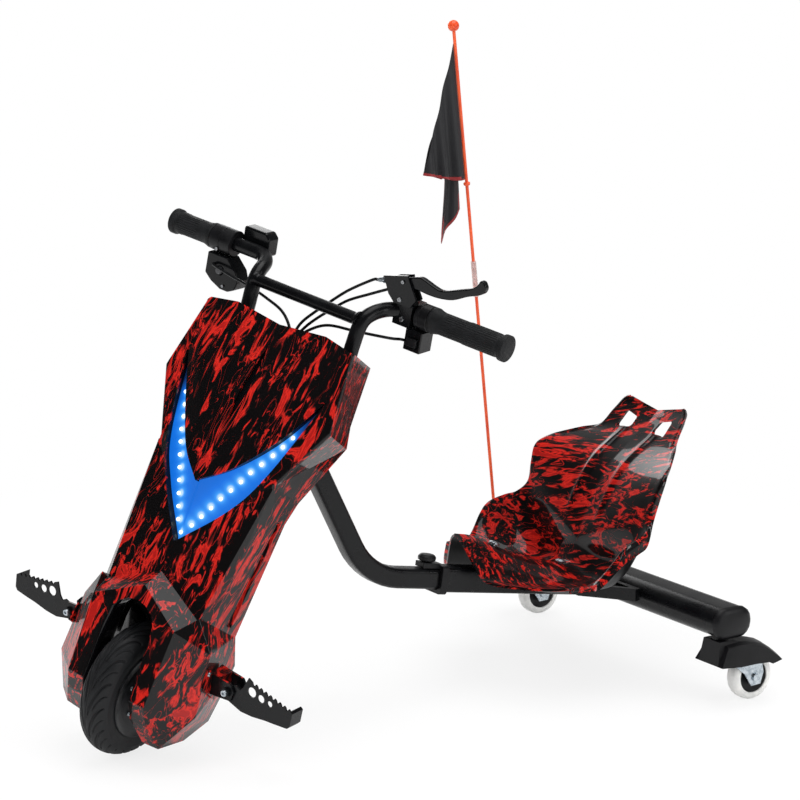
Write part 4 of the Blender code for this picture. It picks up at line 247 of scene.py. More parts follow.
def dress(made, node, body=None, slot=None):
    """Let a piece ride on the body given, or on the one of the CAD node that it stands for, and hide that
    node.
    """
    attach(made, body or NODE_BODY[node])
    slot = slot or NODE_SLOT.get(node)
    if node:
        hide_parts(node)
    return made


def piece(name, bm, finish, node=None, pose=FRONT, sharp=35, body=None, slot=None, closed=True):
    """Make a piece from a bmesh in the kart's drawing, set it in the part's frame, and dress the frame."""
    if closed:
        bmesh.ops.remove_doubles(bm, verts=bm.verts, dist=1e-6)
        bmesh.ops.recalc_face_normals(bm, faces=bm.faces)
    bm.transform(pose)
    made = place_bmesh(name, bm, finish if isinstance(finish, list) else [finish])
    shade(made.data, sharp)
    return dress(made, node, body, slot)


def walled(made, thickness, offset=0.0, **settings):
    """Give a sheet its thickness."""
    wall = made.modifiers.new("wall", "SOLIDIFY")
    wall.thickness, wall.offset = thickness, offset
    for key, value in settings.items():
        setattr(wall, key, value)


def rounded(made, width, segments=3, angle=20):
    """Round a piece's sharp edges as its mould or bend does."""
    edge = made.modifiers.new("rounded", "BEVEL")
    edge.width, edge.segments = width, segments
    edge.limit_method, edge.angle_limit = "ANGLE", math.radians(angle)
    edge.use_clamp_overlap = True
    made.modifiers.new("even", "WEIGHTED_NORMAL").keep_sharp = False


def smooth_line(points, pieces):
    """A smooth curve through the points, with so many pieces between two of them."""
    points = [Vector(p) for p in points]
    ends = [points[0] * 2 - points[1]] + points + [points[-1] * 2 - points[-2]]
    out = []
    for i in range(1, len(ends) - 2):
        a, b, c, d = ends[i - 1:i + 3]
        for t in [k / pieces for k in range(pieces)]:
            bend = (2 * a - 5 * b + 4 * c - d) * t * t + (3 * b - a - 3 * c + d) * t ** 3
            out.append(0.5 * (2 * b + (c - a) * t + bend))
    return out + [points[-1]]


def outward(bm, way):
    """Turn the faces of an open sheet all to one side, the one that looks along a direction."""
    bmesh.ops.recalc_face_normals(bm, faces=bm.faces)
    if sum((f.normal * f.calc_area() for f in bm.faces), Vector()).dot(Vector(way)) < 0:
        bmesh.ops.reverse_faces(bm, faces=bm.faces)


def mm(*rows):
    """Rows of millimetres as tuples in metres."""
    return [tuple(v / 1000 for v in row) for row in rows]


# The left half's corners in millimetres, and its panels, each a ring of corners
CORNERS = {
    "top_mid": (0, 218, 620), "top_peak": (81, 221, 628), "top_side": (134.3, 218, 619.5),
    "hood_high": (0, 200, 594), "hood_low": (0, 127.8, 490), "notch": (0, 73, 411),
    "inner_low": (46, 100, 441), "inner_high": (91, 141, 493), "tip": (128.6, 180, 554.3),
    "facet_low": (11, 108.4, 462), "facet_mid": (48, 127.3, 489.3), "facet_high": (77, 148.4, 519.7),
    "facet_top": (107, 175.4, 558.5), "apex": (0, 44, 322), "outer_low": (60, 83.5, 384),
    "outer_high": (94, 115, 444), "shoulder": (154.7, 163, 515.7), "waist": (107.7, 115, 430.6),
    "beak_side": (86, 14, 240), "beak": (0, 26, 281), "brow_mid": (0, -7, 268), "brow_side": (76, -25, 230.6),
    "plate_low": (71.9, -64.2, 121.6), "plate_bend": (74.7, -56.7, 89.9), "foot_in": (60.5, -39.9, 53),
    "foot_out": (88.3, -38.2, 54.8), "pocket_top": (92, 7.6, 248.5), "cheek_top": (98.9, 27, 237),
    "cheek_high": (120, 8.4, 203.4), "cheek_wide": (129.2, -17.3, 115.7), "cheek_low": (100.4, -36.7, 70.7),
    "rear_top": (120, 288, 580), "rear_high": (120, 262, 494), "rear_elbow": (118, 264, 458),
    "rear_waist": (99, 193, 382), "rear_mid": (98, 169, 354), "rear_hip": (100, 87, 199),
    "rear_out": (100, 98, 149), "rear_low": (90, 87, 93), "rear_knee": (90, 68, 64),
    "rear_foot": (90, 16, 50), "slot_a": (101, 146.8, 365), "slot_b": (98.5, 65.3, 222.5),
    "slot_c": (99, 75.7, 216.5), "slot_d": (99, 157.2, 359), "deep_a": (96, 147.8, 361),
    "deep_b": (94, 68.3, 224), "deep_c": (94, 74, 220.5), "deep_d": (94.5, 154, 357),
    "arch_top": (0, -19, 249), "arch_a": (16, -20, 245.5), "arch_b": (30, -22.5, 237),
    "arch_c": (39, -27, 225), "arch_d": (42, -36, 201), "arch_e": (44, -64, 121),
    "arch_f": (45.5, -56.7, 89.9),
}
CORNERS = dict(zip(CORNERS, mm(*CORNERS.values())))
PANELS = """top_mid hood_high hood_low notch facet_low facet_mid facet_high facet_top top_side top_peak
notch inner_low facet_mid facet_low/inner_low inner_high facet_high facet_mid
inner_high tip facet_top facet_high/tip top_side facet_top/tip shoulder top_side
outer_high waist shoulder tip/outer_low waist outer_high/outer_low beak_side waist/apex beak_side outer_low
apex beak beak_side/beak brow_mid brow_side beak_side/beak_side brow_side pocket_top
beak_side pocket_top cheek_top/brow_mid arch_top arch_a arch_b brow_side/brow_side arch_b arch_c arch_d
brow_side arch_d arch_e plate_low/plate_low arch_e arch_f plate_bend/plate_bend arch_f foot_in foot_out
brow_side cheek_high pocket_top/pocket_top cheek_high cheek_top/brow_side plate_low cheek_wide cheek_high
plate_low plate_bend cheek_low cheek_wide/plate_bend foot_out cheek_low/top_side shoulder rear_high rear_top
shoulder rear_elbow rear_high/shoulder waist rear_elbow/waist rear_waist rear_elbow
waist beak_side cheek_top slot_b slot_a/waist slot_a slot_d rear_mid rear_waist
slot_d slot_c rear_hip rear_mid/cheek_top rear_hip slot_c slot_b/slot_a slot_b deep_b deep_a
slot_b slot_c deep_c deep_b/slot_c slot_d deep_d deep_c/slot_d slot_a deep_a deep_d
deep_a deep_b deep_c deep_d/cheek_top cheek_high rear_hip/cheek_high cheek_wide rear_out rear_hip
cheek_wide rear_low rear_out/cheek_wide cheek_low rear_knee rear_low/cheek_low foot_out rear_foot rear_knee"""
PANELS = PANELS.replace("\n", "/").split("/")
# How strongly each of these sides is chamfered
CHAMFERED = {("top_side", "shoulder"): 1.0, ("shoulder", "waist"): 1.0, ("top_side", "top_peak"): 0.5,
             ("top_peak", "top_mid"): 0.5}
# The light band's outer and inner edge are smooth curves through these corners
BAND_EDGES = [["apex", "outer_low", "outer_high", "tip"], ["notch", "inner_low", "inner_high", "tip"]]
BAND_STEPS = 6
# The halves part down the hood's middle in a leaf shape: its steps and half its width
LEAF_STEPS, LEAF_HALF = 12, 0.0062
curved = {}
for names in BAND_EDGES:
    line = smooth_line([CORNERS[n] for n in names], BAND_STEPS)
    for k, pair in enumerate(zip(names, names[1:])):
        curved[pair] = line[k * BAND_STEPS + 1:(k + 1) * BAND_STEPS]
        curved[pair[::-1]] = curved[pair][::-1]
hood_high, hood_low = Vector(CORNERS["hood_high"]), Vector(CORNERS["hood_low"])
curved["hood_high", "hood_low"] = [
    hood_high.lerp(hood_low, t) + Vector((LEAF_HALF * math.sin(math.pi * t ** 1.35) ** 0.8, 0, 0))
    for t in [k / LEAF_STEPS for k in range(1, LEAF_STEPS)]]


def both_halves(panels):
    """Panels of named corners and their mirror images, with the curves between corners and the chamfers."""
    bm = bmesh.new()
    made = {}

    def corner(spot, side):
        key = (round(spot[0] * side, 6), round(spot[1], 6), round(spot[2], 6))
        if key not in made:
            made[key] = bm.verts.new(key)
        return made[key]
    for names in panels:
        loop = []
        for name, following in zip(names, names[1:] + names[:1]):
            loop += [CORNERS[name], *curved.get((name, following), [])]
        for side in (1, -1):
            ring = [corner(p, side) for p in loop]
            bm.faces.new(ring if side > 0 else ring[::-1])
    weight = bm.edges.layers.float.new("bevel_weight_edge")
    for names, share in CHAMFERED.items():
        for side in (1, -1):
            bm.edges.get([corner(CORNERS[n], side) for n in names])[weight] = share
    outward(bm, (0, -1, 0))
    return bm


HOOD_FLOW = (0, 0.57, 0.82)
shell_paint = flame_lacquer("flame_printed_abs", FRONT, HOOD_FLOW)
shell = piece("front_shell", both_halves([names.split() for names in PANELS]), shell_paint, "front_cover",
              sharp=12, closed=False)
edge = shell.modifiers.new("chamfers", "BEVEL")
edge.width, edge.segments, edge.limit_method = 0.0046, 3, "WEIGHT"
edge = shell.modifiers.new("facets", "BEVEL")
edge.width, edge.segments, edge.limit_method, edge.angle_limit = 0.0022, 3, "ANGLE", math.radians(9)
walled(shell, 0.003, -1.0, use_even_offset=True)
rounded(shell, 0.0006, 2, 50)

# Light band.
# A circuit board with a row of small lamps lies about 9 mm behind the cover's face, in a black tray whose
# glossy walls mirror the lamps. The lamps' blue light on the board is painted light, a glow in the board's
# own surface, and it fades to black at the board's tips.


def coated(name, dark, light, roughness, blotch=30.0, grain=0.8, bump=0.25, spread=0.08, metallic=0.0,
           stretch=None, shine=0.5):
    """A surface whose colour and gloss vary slightly, with a fine grain; blotch and grain are in mm."""
    made, tree, shader = surface(name)
    here = add(tree, "TexCoord").outputs["Object"]
    if stretch:
        here = add(tree, "Mapping", {"Vector": here, "Scale": stretch}).outputs[0]
    cloud = add(tree, "TexNoise", {"Vector": here, "Scale": 1000 / blotch, "Detail": 3.0})
    spotty = add(tree, "MapRange", {"Value": cloud, "From Min": 0.35, "From Max": 0.65})
    colour = add(tree, "Mix", {"Factor": spotty, "A": linear(dark), "B": linear(light)}, data_type="RGBA")
    fine = add(tree, "TexNoise", {"Vector": here, "Scale": 1000 / grain, "Detail": 2.0})
    gloss = add(tree, "MapRange", {"Value": cloud, "From Min": 0.3, "From Max": 0.7,
                                   "To Min": max(0.03, roughness - spread), "To Max": roughness + spread})
    rough = add(tree, "Bump", {"Height": fine, "Strength": bump, "Distance": grain * 0.00015})
    feed(tree, shader, {"Base Color": colour.outputs["Result"], "Roughness": gloss, "Normal": rough,
                        "Metallic": metallic, "Specular IOR Level": shine})
    return made


def skin(bm, rows, ring=False):
    """Make the faces between rows of vertices; rings close round, and a row of one vertex is a point."""
    faces = []
    for low, high in zip(rows, rows[1:]):
        count = max(len(low), len(high))
        for k in range(count if ring else count - 1):
            m = (k + 1) % count
            corners = (low[k % len(low)], low[m % len(low)], high[m % len(high)], high[k % len(high)])
            corners = list(dict.fromkeys(corners))
            if len(corners) > 2:
                faces.append(bm.faces.new(corners))
    return faces


def circle(bm, centre, side, up, radius, sides):
    """A ring of vertices about a centre, or one vertex where the radius is nothing."""
    turns = [2 * math.pi * k / sides for k in range(sides if radius > 1e-7 else 1)]
    return [bm.verts.new(centre + (side * math.cos(a) + up * math.sin(a)) * radius) for a in turns]


def lathe(profile, centre, direction, sides=48):
    """Turn a closed profile of (radius, distance along the axis) about an axis."""
    forward = Vector(direction).normalized()
    side = Vector((1, 0, 0)) if abs(forward.x) < 0.9 else Vector((0, 1, 0))
    up = forward.cross(side).normalized()
    side = up.cross(forward).normalized()
    bm = bmesh.new()
    rings = [circle(bm, Vector(centre) + forward * along, side, up, radius, sides)
             for radius, along in profile]
    skin(bm, rings + rings[:1], ring=True)
    return bm


BAND_DEPTH, BAND_ROWS, BAND_PIECES = 0.0090, 26, 42
# The rim of the tray, just behind the cover's face, and where its walls meet the board, as shares of its
# width
TRAY_RIM, TRAY_WALLS = 0.0008, {1: 0.02, BAND_ROWS - 1: 0.98}
# Where along the band the board's painted glow starts to fade, and over what share of it
FADE_START, FADE_LENGTH = 0.72, 0.24
# Painted light in the board's glow: all over, then a wide and a tight pool round each lamp, each a strength
# and a radius
LIT, POOLS = 0.56, ((0.16, 0.016), (0.40, 0.0058))
BAND_LAMPS = mm(
    (0, 51.6, 337), (12.8, 57.5, 351), (21.7, 65.3, 366), (30.5, 73.1, 381), (39.2, 81, 396.5),
    (48.3, 89.5, 411), (57.3, 97.7, 425.6), (65.6, 105.7, 441), (75.2, 115.6, 455), (83.7, 127.6, 469),
    (91.9, 136.9, 483), (100.5, 146, 498))
lamp_spots = [Vector((side * x, y, z)) for x, y, z in BAND_LAMPS for side in ((1, -1) if x else (1,))]

# Solder mask with painted light: its glow is blue where the lamps wash over it, black at the tips.
board_blue, tree, shader = surface("lit_circuit_board")
wash = add(tree, "Attribute", attribute_name="wash")
tint = add(tree, "ValToRGB", {0: wash.outputs["Fac"]})
set_stops(tint.color_ramp, [(0.0, "02030a"), (0.22, "052048"), (0.45, "0757b4"), (0.62, "0c74e6"),
                            (0.80, "3fa4ff"), (1.0, "c4e6ff")])
here = add(tree, "TexCoord").outputs["Object"]
speck = add(tree, "TexNoise", {"Vector": here, "Scale": 260.0, "Detail": 2.0})
weave = add(tree, "Bump", {"Height": speck, "Strength": 0.2, "Distance": 0.0003})
feed(tree, shader, {"Normal": weave, "Emission Color": tint, "Emission Strength": 0.95,
                    "Base Color": linear("071634"), "Roughness": 0.4})
# Injection-moulded gloss ABS: near-black and smooth, with soft mirror reflections.
tray_black = coated("gloss_black_abs", "08080a", "0c0c0f", 0.10, 60, 3.0, 0.08, 0.03, shine=0.3)

outer_edge, inner_edge = [smooth_line([CORNERS[n] for n in names], BAND_PIECES) for names in BAND_EDGES]
last = len(outer_edge) - 1
bm = bmesh.new()
painted_light_layer = bm.verts.layers.float.new("wash")
for side in (1, -1):
    rows = []
    for k, (outer, inner) in enumerate(zip(outer_edge, inner_edge)):
        ahead = outer_edge[min(k + 1, last)] - outer_edge[max(k - 1, 0)]
        across = (inner - outer) if (inner - outer).length > 0.004 else Vector((-0.03, 0.02, 0.05))
        inward = across.cross(ahead).normalized()
        inward = inward if inward.y > 0 else -inward
        if k == 0:
            inward = Vector((0, 0.95, -0.30)).normalized()
        fade = max(0.0, min(1.0, 1 - max(0.0, (k / last - FADE_START) / FADE_LENGTH)))
        row = []
        for j in range(BAND_ROWS + 1):
            front = outer.lerp(inner, TRAY_WALLS.get(j, j / BAND_ROWS))
            spot = front + inward * (TRAY_RIM if j in (0, BAND_ROWS) else BAND_DEPTH)
            vert = bm.verts.new((spot.x * side, spot.y, spot.z))
            # Painted light: the lamps' pools on the board and their fade at the tips, set into the board's
            # glow
            near = min((Vector((front.x * side, front.y, front.z)) - lamp).length for lamp in lamp_spots)
            glare = LIT + sum(power * math.exp(-(near / radius) ** 2) for power, radius in POOLS)
            vert[painted_light_layer] = fade * glare
            row.append(vert)
        rows.append(row)
    for number, face in enumerate(skin(bm, rows if side > 0 else rows[::-1])):
        face.material_index = int(number % BAND_ROWS in (0, BAND_ROWS - 1))
bmesh.ops.remove_doubles(bm, verts=bm.verts, dist=1e-5)
outward(bm, (0, -1, 0))
piece("light_tray", bm, [board_blue, tray_black], "light_lens", sharp=30, closed=False)

# One tree sets a small shape at each marked spot; the spots carry its turn and its size.
setter = bpy.data.node_groups.new("set_shapes", "GeometryNodeTree")
for label, kind in (("Spots", "Geometry"), ("Shape", "Object"), ("Finish", "Material"), ("Join", "Float")):
    setter.interface.new_socket(label, in_out="INPUT", socket_type="NodeSocket" + kind)
setter.interface.new_socket("Shapes", in_out="OUTPUT", socket_type="NodeSocketGeometry")
given = add(setter, "NodeGroupInput").outputs
shape = add(setter, "GeometryNodeObjectInfo", {"Object": given["Shape"]})
turn = add(setter, "GeometryNodeInputNamedAttribute", {"Name": "turn"}, data_type="FLOAT_VECTOR")
size = add(setter, "GeometryNodeInputNamedAttribute", {"Name": "size"}, data_type="FLOAT")
put = add(setter, "GeometryNodeInstanceOnPoints", {
    "Points": given["Spots"], "Instance": shape.outputs["Geometry"], "Rotation": turn.outputs["Attribute"],
    "Scale": size.outputs["Attribute"]})
real = add(setter, "GeometryNodeRealizeInstances", {0: put})
joined = add(setter, "GeometryNodeMergeByDistance", {"Geometry": real, "Distance": given["Join"]})
finished = add(setter, "GeometryNodeSetMaterial", {"Geometry": joined, "Material": given["Finish"]})
add(setter, "NodeGroupOutput", {"Shapes": finished})


def baked(made):
    """A plain mesh of an object as its modifiers leave it."""
    bpy.context.view_layer.update()
    graph = bpy.context.evaluated_depsgraph_get()
    return bpy.data.meshes.new_from_object(made.evaluated_get(graph), depsgraph=graph)


def repeated(name, shape_bm, spots, finish, node=None, body="fork", slot="zinc", join=0.000001, sharp=35):
    """Set a shape, drawn about the origin with its outer side along Z, at each spot, direction and size."""
    bmesh.ops.recalc_face_normals(shape_bm, faces=shape_bm.faces)
    pattern = place_bmesh(name + "_shape", shape_bm)
    mesh = bpy.data.meshes.new(name + "_spots")
    mesh.from_pydata([FRONT @ Vector(spot) for spot, _, _ in spots], [], [])
    turns = []
    for _, way, _ in spots:
        if isinstance(way, Matrix):
            turns += (FRONT.to_3x3() @ way).to_euler()
        else:
            turns += (FRONT.to_3x3() @ Vector(way)).to_track_quat("Z", "Y").to_euler()
    mesh.attributes.new("turn", "FLOAT_VECTOR", "POINT").data.foreach_set("vector", turns)
    mesh.attributes.new("size", "FLOAT", "POINT").data.foreach_set("value", [size for _, _, size in spots])
    mesh.materials.append(finish)
    holder = place(name + "_spots", mesh)
    modifier = holder.modifiers.new("set", "NODES")
    modifier.node_group = setter
    inputs = {item.name: item.identifier for item in setter.interface.items_tree if item.in_out == "INPUT"}
    for label, value in (("Shape", pattern), ("Finish", finish), ("Join", join)):
        modifier[inputs[label]] = value
    plain = baked(holder)
    for thing in (holder, pattern):
        bpy.data.objects.remove(thing, do_unlink=True)
    plain.name = name
    shade(plain, sharp)
    dress(place(name, plain), node, body, slot)


# Epoxy lamp domes: white-hot in the middle, blue round the foot.
lamp_white, tree, shader = surface("lit_epoxy_lamp")
fringe = add(tree, "LayerWeight", {"Blend": 0.35})
halo = add(tree, "Mix", {"Factor": fringe.outputs["Facing"], "A": linear("ffffff"), "B": linear("8fd0ff")},
           data_type="RGBA")
feed(tree, shader, {"Emission Color": halo.outputs["Result"], "Emission Strength": 1.6,
                    "Base Color": linear("d8ecff")})
FACE_OUT = Vector((0, -0.86, 0.51))
DOME = mm((0, 0), (3, 0), (3, 0.6), (2.6, 1.3), (1.6, 1.8), (0, 2))
repeated("band_lamps", lathe(DOME, (0, 0, 0), (0, 0, 1), 16),
         [(spot - FACE_OUT * (BAND_DEPTH - 0.0016), FACE_OUT, 1.0) for spot in lamp_spots], lamp_white,
         slot="lens_blue")

# Hood slot and wheel well.
# A shallow black dish closes the leaf-shaped slot in the hood from behind. A thin black inner guard runs
# from the wheel arch back over the tyre, between the fork legs.

INTO_HOOD = Vector((0, 0.82, -0.57))
DISH_STEPS, DISH_GAP, DISH_HOLLOW = 24, 0.0032, 0.0035
dish = []
for k in range(DISH_STEPS + 1):
    half = 0.0085 * math.sin(math.pi * (0.02 + 0.96 * k / DISH_STEPS) ** 1.35) ** 0.7
    middle = hood_high.lerp(hood_low, -0.03 + 1.06 * k / DISH_STEPS) + INTO_HOOD * DISH_GAP
    dish.append([middle + Vector((half * s, 0, 0)) + INTO_HOOD * DISH_HOLLOW * (1 - s * s)
                 for s in (-1, -0.75, -0.4, 0, 0.4, 0.75, 1)])
bm = bmesh.new()
skin(bm, [[bm.verts.new(p) for p in row] for row in dish])
walled(piece("hood_slot_dish", bm, tray_black, sharp=60, body="fork", closed=False), 0.0010)

# The arch's lip, carried back in narrowing steps, and the roof from front to back: y and z in millimetres
LIP_BACK, LIP_NARROWS = (0.0015, 0.014, 0.030, 0.048), 0.3
ROOF = mm((0, 8, 245.8), (0, 28, 244), (0, 45, 240), (0, 64, 230), (0, 84, 213), (0, 101, 190), (0, 111, 164),
          (0, 116.5, 132), (0, 116, 105))
# Half the roof's section: out from the middle, then down toward the axle
ROOF_HALF = mm((49, 80), (49, 20), (47, 3), (40, 0), (15, -1))
lip = [Vector(CORNERS["arch_" + n]) for n in "fedcba"]
lip += [Vector(CORNERS["arch_top"])] + [Vector((-x, y, z)) for x, y, z in lip[::-1]]
bm = bmesh.new()
throat = [[(p.x * (1 - LIP_NARROWS * back), p.y + back, p.z - 0.1 * back) for p in lip] for back in LIP_BACK]
section = ROOF_HALF + [(-x, deep) for x, deep in ROOF_HALF[::-1]]
roof = [[p + (AXLE - p).normalized() * deep + Vector((x, 0, 0)) for x, deep in section]
        for p in smooth_line(ROOF, 4)]
for rows in (throat, roof):
    skin(bm, [[bm.verts.new(p) for p in row] for row in rows])
bmesh.ops.recalc_face_normals(bm, faces=bm.faces)
walled(piece("inner_guard", bm, tray_black, sharp=40, body="fork", closed=False), 0.0016)

# Deck cover.
# A black ABS lid behind the cover's upper lip closes the top and the upper back of the shell. The risers
# and the four leads come up through it.


def softened(name, node, finish, width=0.0005, segments=2, sharp=35, slot=None):
    """A CAD node's mesh, merged to its real faces, with its edges rounded; it stands for the node."""
    bm = bmesh.new()
    bm.from_mesh(frame["nodes"][node].data)
    bmesh.ops.remove_doubles(bm, verts=bm.verts, dist=1e-6)
    bmesh.ops.dissolve_limit(bm, angle_limit=math.radians(0.6), verts=bm.verts, edges=bm.edges)
    made = piece(name, bm, finish, node, Matrix(), sharp, slot=slot, closed=False)
    if width:
        rounded(made, width, segments, 25)
    return made


# Moulded ABS with a fine spark-eroded texture: a soft grey sheen on edges.
black_abs = coated("textured_black_abs", "0d0d0f", "141416", 0.40, 25, 0.5, 0.35, shine=0.25)
softened("deck_cover", "upper_back_cover", black_abs, 0.0006)

# Front wheel.
# A pneumatic tyre with sweeping V grooves on a pressed alloy rim round the hub motor. The motor turns on a
# fixed axle with a nut outside each fork leg.

TYRE_RADIUS, SECTION_RADIUS, PITCHES = 0.1015, 0.0254, 15
PITCH = 2 * math.pi * TYRE_RADIUS / PITCHES
# Degrees round the section: a groove's start and run from the tread's middle, half the centre line, and the
# bead
GROOVE_START, GROOVE_RUN, CENTRE_LINE, BEAD = 5, 60, 2.4, 125
GROOVE_SWEEP, GROOVE_BEND = 0.058, 2.3
# The long and the short groove of a pitch: offset in pitches, start as a share of the run, half width and
# depth
GROOVES = ((0.0, 0.0, 0.0014, 0.0024), (0.5, 0.30, 0.0009, 0.0016))
# Two low ledges on the side wall: height, degrees round the section and degrees wide
LEDGES = ((0.00035, 78, 3.0), (0.00025, 112, 2.5))


def groove_depth(along, angle):
    """How deep the tread is cut at a place; along is metres round the tread and angle is from its middle."""
    lean = 0.0 if angle > 0 else 0.5
    u = (abs(angle) - GROOVE_START) / GROOVE_RUN
    cut = 0.0
    if 0 < u < 1:
        start = GROOVE_SWEEP * (1 - (1 - u) ** GROOVE_BEND)
        slope = GROOVE_SWEEP * GROOVE_BEND * (1 - u) ** (GROOVE_BEND - 1)
        slope /= math.radians(GROOVE_RUN) * SECTION_RADIUS
        for step, low, wide, deep in GROOVES:
            if u < low:
                continue
            gap = (along - start - (lean + step) * PITCH + PITCH / 2) % PITCH - PITCH / 2
            gap = abs(gap) / math.sqrt(1 + slope * slope)
            ends = min(1.0, (u - low) / 0.06, (1 - u) / 0.08)
            cut = max(cut, deep * ends * max(0.0, min(1.0, (wide * 1.5 - gap) / (wide * 0.6))))
    return max(cut, 0.0012 * (1 - abs(angle) / CENTRE_LINE))


def tread_pitch(steps=120, around=52):
    """One pitch of the tyre, from bead to bead, about the origin with its middle up."""
    bm = bmesh.new()
    grid = []
    for k in range(around + 1):
        turn = (k / around - 0.5) * 2 * math.pi / PITCHES
        row = []
        for j in range(steps + 1):
            angle = BEAD * (2 * j / steps - 1)
            reach = SECTION_RADIUS - groove_depth(k / around * PITCH, angle) - 0.0004
            for high, middle, wide in LEDGES:
                reach += high * math.exp(-((abs(angle) - middle) / wide) ** 2)
            radius = TYRE_RADIUS - SECTION_RADIUS + reach * math.cos(math.radians(angle))
            out = reach * math.sin(math.radians(angle))
            row.append(bm.verts.new((out, radius * math.sin(turn), radius * math.cos(turn))))
        grid.append(row)
    skin(bm, grid)
    return bm


def two_finishes(bm, centre, radius):
    """Give a wheel's faces within a radius of its axle the second finish."""
    for face in bm.faces:
        away = face.calc_center_median() - Vector(centre)
        face.material_index = int(math.hypot(away.y, away.z) < radius)
    return bm


# Vulcanised tread rubber: charcoal grey, dull, with a faint sheen on the crown of each block.
tread_rubber = coated("tread_rubber", "131416", "1a1b1d", 0.55, 20, 0.9, 0.4, shine=0.3)
repeated("tyre_tread", tread_pitch(), [
    (AXLE, Matrix.Rotation(2 * math.pi * (k + 0.5) / PITCHES, 3, "X"), 1.0) for k in range(PITCHES)],
    tread_rubber, "front_tyre", "front_wheel", None, 0.00002, 60)
# Die-cast aluminium, machined on the lip: bright, with fine turning marks.
cast_alloy = coated("turned_aluminium", "8e9093", "b4b6b9", 0.30, 12, 0.4, 0.3, 0.08, 0.95)
# Cast aluminium under dark grey paint: dull, with a fine sandy grain.
painted_cast = coated("painted_casting", "1b1c1e", "27282b", 0.42, 10, 0.8, 0.4, 0.08, shine=0.35)
# Half the hub's section, from the axle hole out to the rim's lip and back under it
HUB_HALF = mm((6.8, 33.5), (11.5, 33.5), (12, 33), (12, 29), (16.5, 28.2), (21.5, 26.2), (22.5, 24.5),
              (30, 24), (48, 22.5), (50, 21.2), (56, 21.2), (60, 22.2), (64, 24.6), (65.5, 25.4), (66.2, 25),
              (66.2, 23.2), (62.8, 22.2), (61.3, 20.5))
bm = lathe([(r, -x) for r, x in HUB_HALF] + HUB_HALF[::-1], AXLE, (1, 0, 0), 96)
piece("wheel_hub", two_finishes(bm, AXLE, 0.0680), [cast_alloy, painted_cast], "hub_motor", sharp=30)


def screw_shape(radius=0.0035, height=0.0026, socket="hex"):
    """A screw head with a hex socket or a cross recess, its foot at the origin and its top along Z."""
    profile = [(0, 0), (radius, 0), (radius, height * 0.75), (radius * 0.88, height)]
    bm = lathe(profile + [(radius * 0.52, height), (0, height)], (0, 0, 0), (0, 0, 1), 24)
    centre = [v for v in bm.verts if v.co.xy.length < 1e-7 and v.co.z > height / 2]
    bmesh.ops.delete(bm, geom=centre, context="VERTS")
    rim = [v for v in bm.verts if abs(v.co.z - height) < 1e-7 and v.co.xy.length < radius * 0.6]
    rim.sort(key=lambda v: math.atan2(v.co.y, v.co.x))
    upper, lower = [], []
    for vert in rim:
        angle = math.atan2(vert.co.y, vert.co.x)
        if socket == "hex":
            part = (angle + math.pi / 6) % (math.pi / 3) - math.pi / 6
            reach = radius * 0.44 / math.cos(part)
        else:
            part = abs((angle + math.pi / 4) % (math.pi / 2) - math.pi / 4)
            reach = radius * (0.50 if part < 0.2 else 0.20)
        x, y = reach * math.cos(angle), reach * math.sin(angle)
        upper.append(bm.verts.new((x, y, height)))
        lower.append(bm.verts.new((x * 0.9, y * 0.9, height * 0.35)))
    skin(bm, [rim, upper, lower], ring=True)
    bm.faces.new(lower)
    return bm


# Zinc-plated steel: cool silver with a faint blue cast and dull patches.
zinc_steel = coated("zinc_plated_steel", "9aa4ac", "c8d0d6", 0.28, 6, 0.5, 0.35, 0.12, 0.9)
SCREW_X, SCREW_RING = 0.0236, 0.040
repeated("hub_screws", screw_shape(), [
    (AXLE + Vector((side * SCREW_X, SCREW_RING * math.cos(a), SCREW_RING * math.sin(a))), (side, 0, 0), 1.0)
    for side in (1, -1) for a in [math.radians(30 + 60 * k) for k in range(6)]], zinc_steel,
    body="front_wheel")
# Half the axle's section, out from the washer over the nut to the chamfered end
AXLE_HALF = mm((6, 75), (12.5, 75.3), (12.5, 76.5), (10.5, 76.7), (10.8, 82), (6, 82.6), (5.8, 87.2), (5, 88),
               (0, 88))
bm = lathe([(r, -x) for r, x in AXLE_HALF[::-1]] + AXLE_HALF, AXLE, (1, 0, 0), 24)
piece("front_axle_bar", bm, zinc_steel, "front_axle", sharp=30)

# Fork, yokes and steering head.
# Square steel legs welded to two plates, carried on ball races in the frame's head tube. All of it is
# powder coated satin black.

# Satin powder coat on steel: deep black with a fine orange peel.
powder_coat = coated("satin_black_powder_coat", "09090b", "0e0f11", 0.28, 40, 1.6, 0.30, 0.06, shine=0.25)
for word in ("left", "right"):
    softened(f"fork_blade_{word}", f"fork_leg_{word}", powder_coat, 0.0004)
for word in ("lower", "upper"):
    softened(f"{word}_plate", f"{word}_yoke", powder_coat, 0.0005)
softened("steering_head", "head_tube", powder_coat, 0.0006)
for word in ("lower", "upper"):
    softened(f"{word}_race", f"{word}_bearing", cast_alloy, 0.0004)

# Battery and motor controller.
# A lithium pack in blue heat-shrink film sits against the lower yoke's edge, and the finned aluminium
# controller hangs below it. Both are hidden behind the cover's face.

# Heat-shrink PVC film: taut, glossy, slightly cloudy blue.
shrink_film = coated("heat_shrink_film", "1c3a66", "264a7c", 0.22, 18, 4.0, 0.5)
softened("battery_case", "battery_pack", shrink_film, 0.0040, 4)
softened("controller_case", "motor_controller", cast_alloy, 0.0015, 3)

# Handlebar.
# Two bent steel tubes welded to the fork legs, with a straight cross tube between them, powder coated. A
# small weld bead rings each end of the cross tube.

RISER_PATH = mm((96.6, 243.5, 521.5), (96.8, 257, 565), (97, 262, 590), (97.3, 267, 613), (99, 274.5, 642),
                (103, 288, 656), (112, 312, 663), (129, 330.5, 665), (144, 336.2, 665), (156, 337, 665))
BAR_RADIUS, BAR_END, GRIP_Y, GRIP_Z = 0.0111, 0.2995, 0.337, 0.665
CROSS_BAR_Y, CROSS_BAR_Z = 0.2740, 0.6490
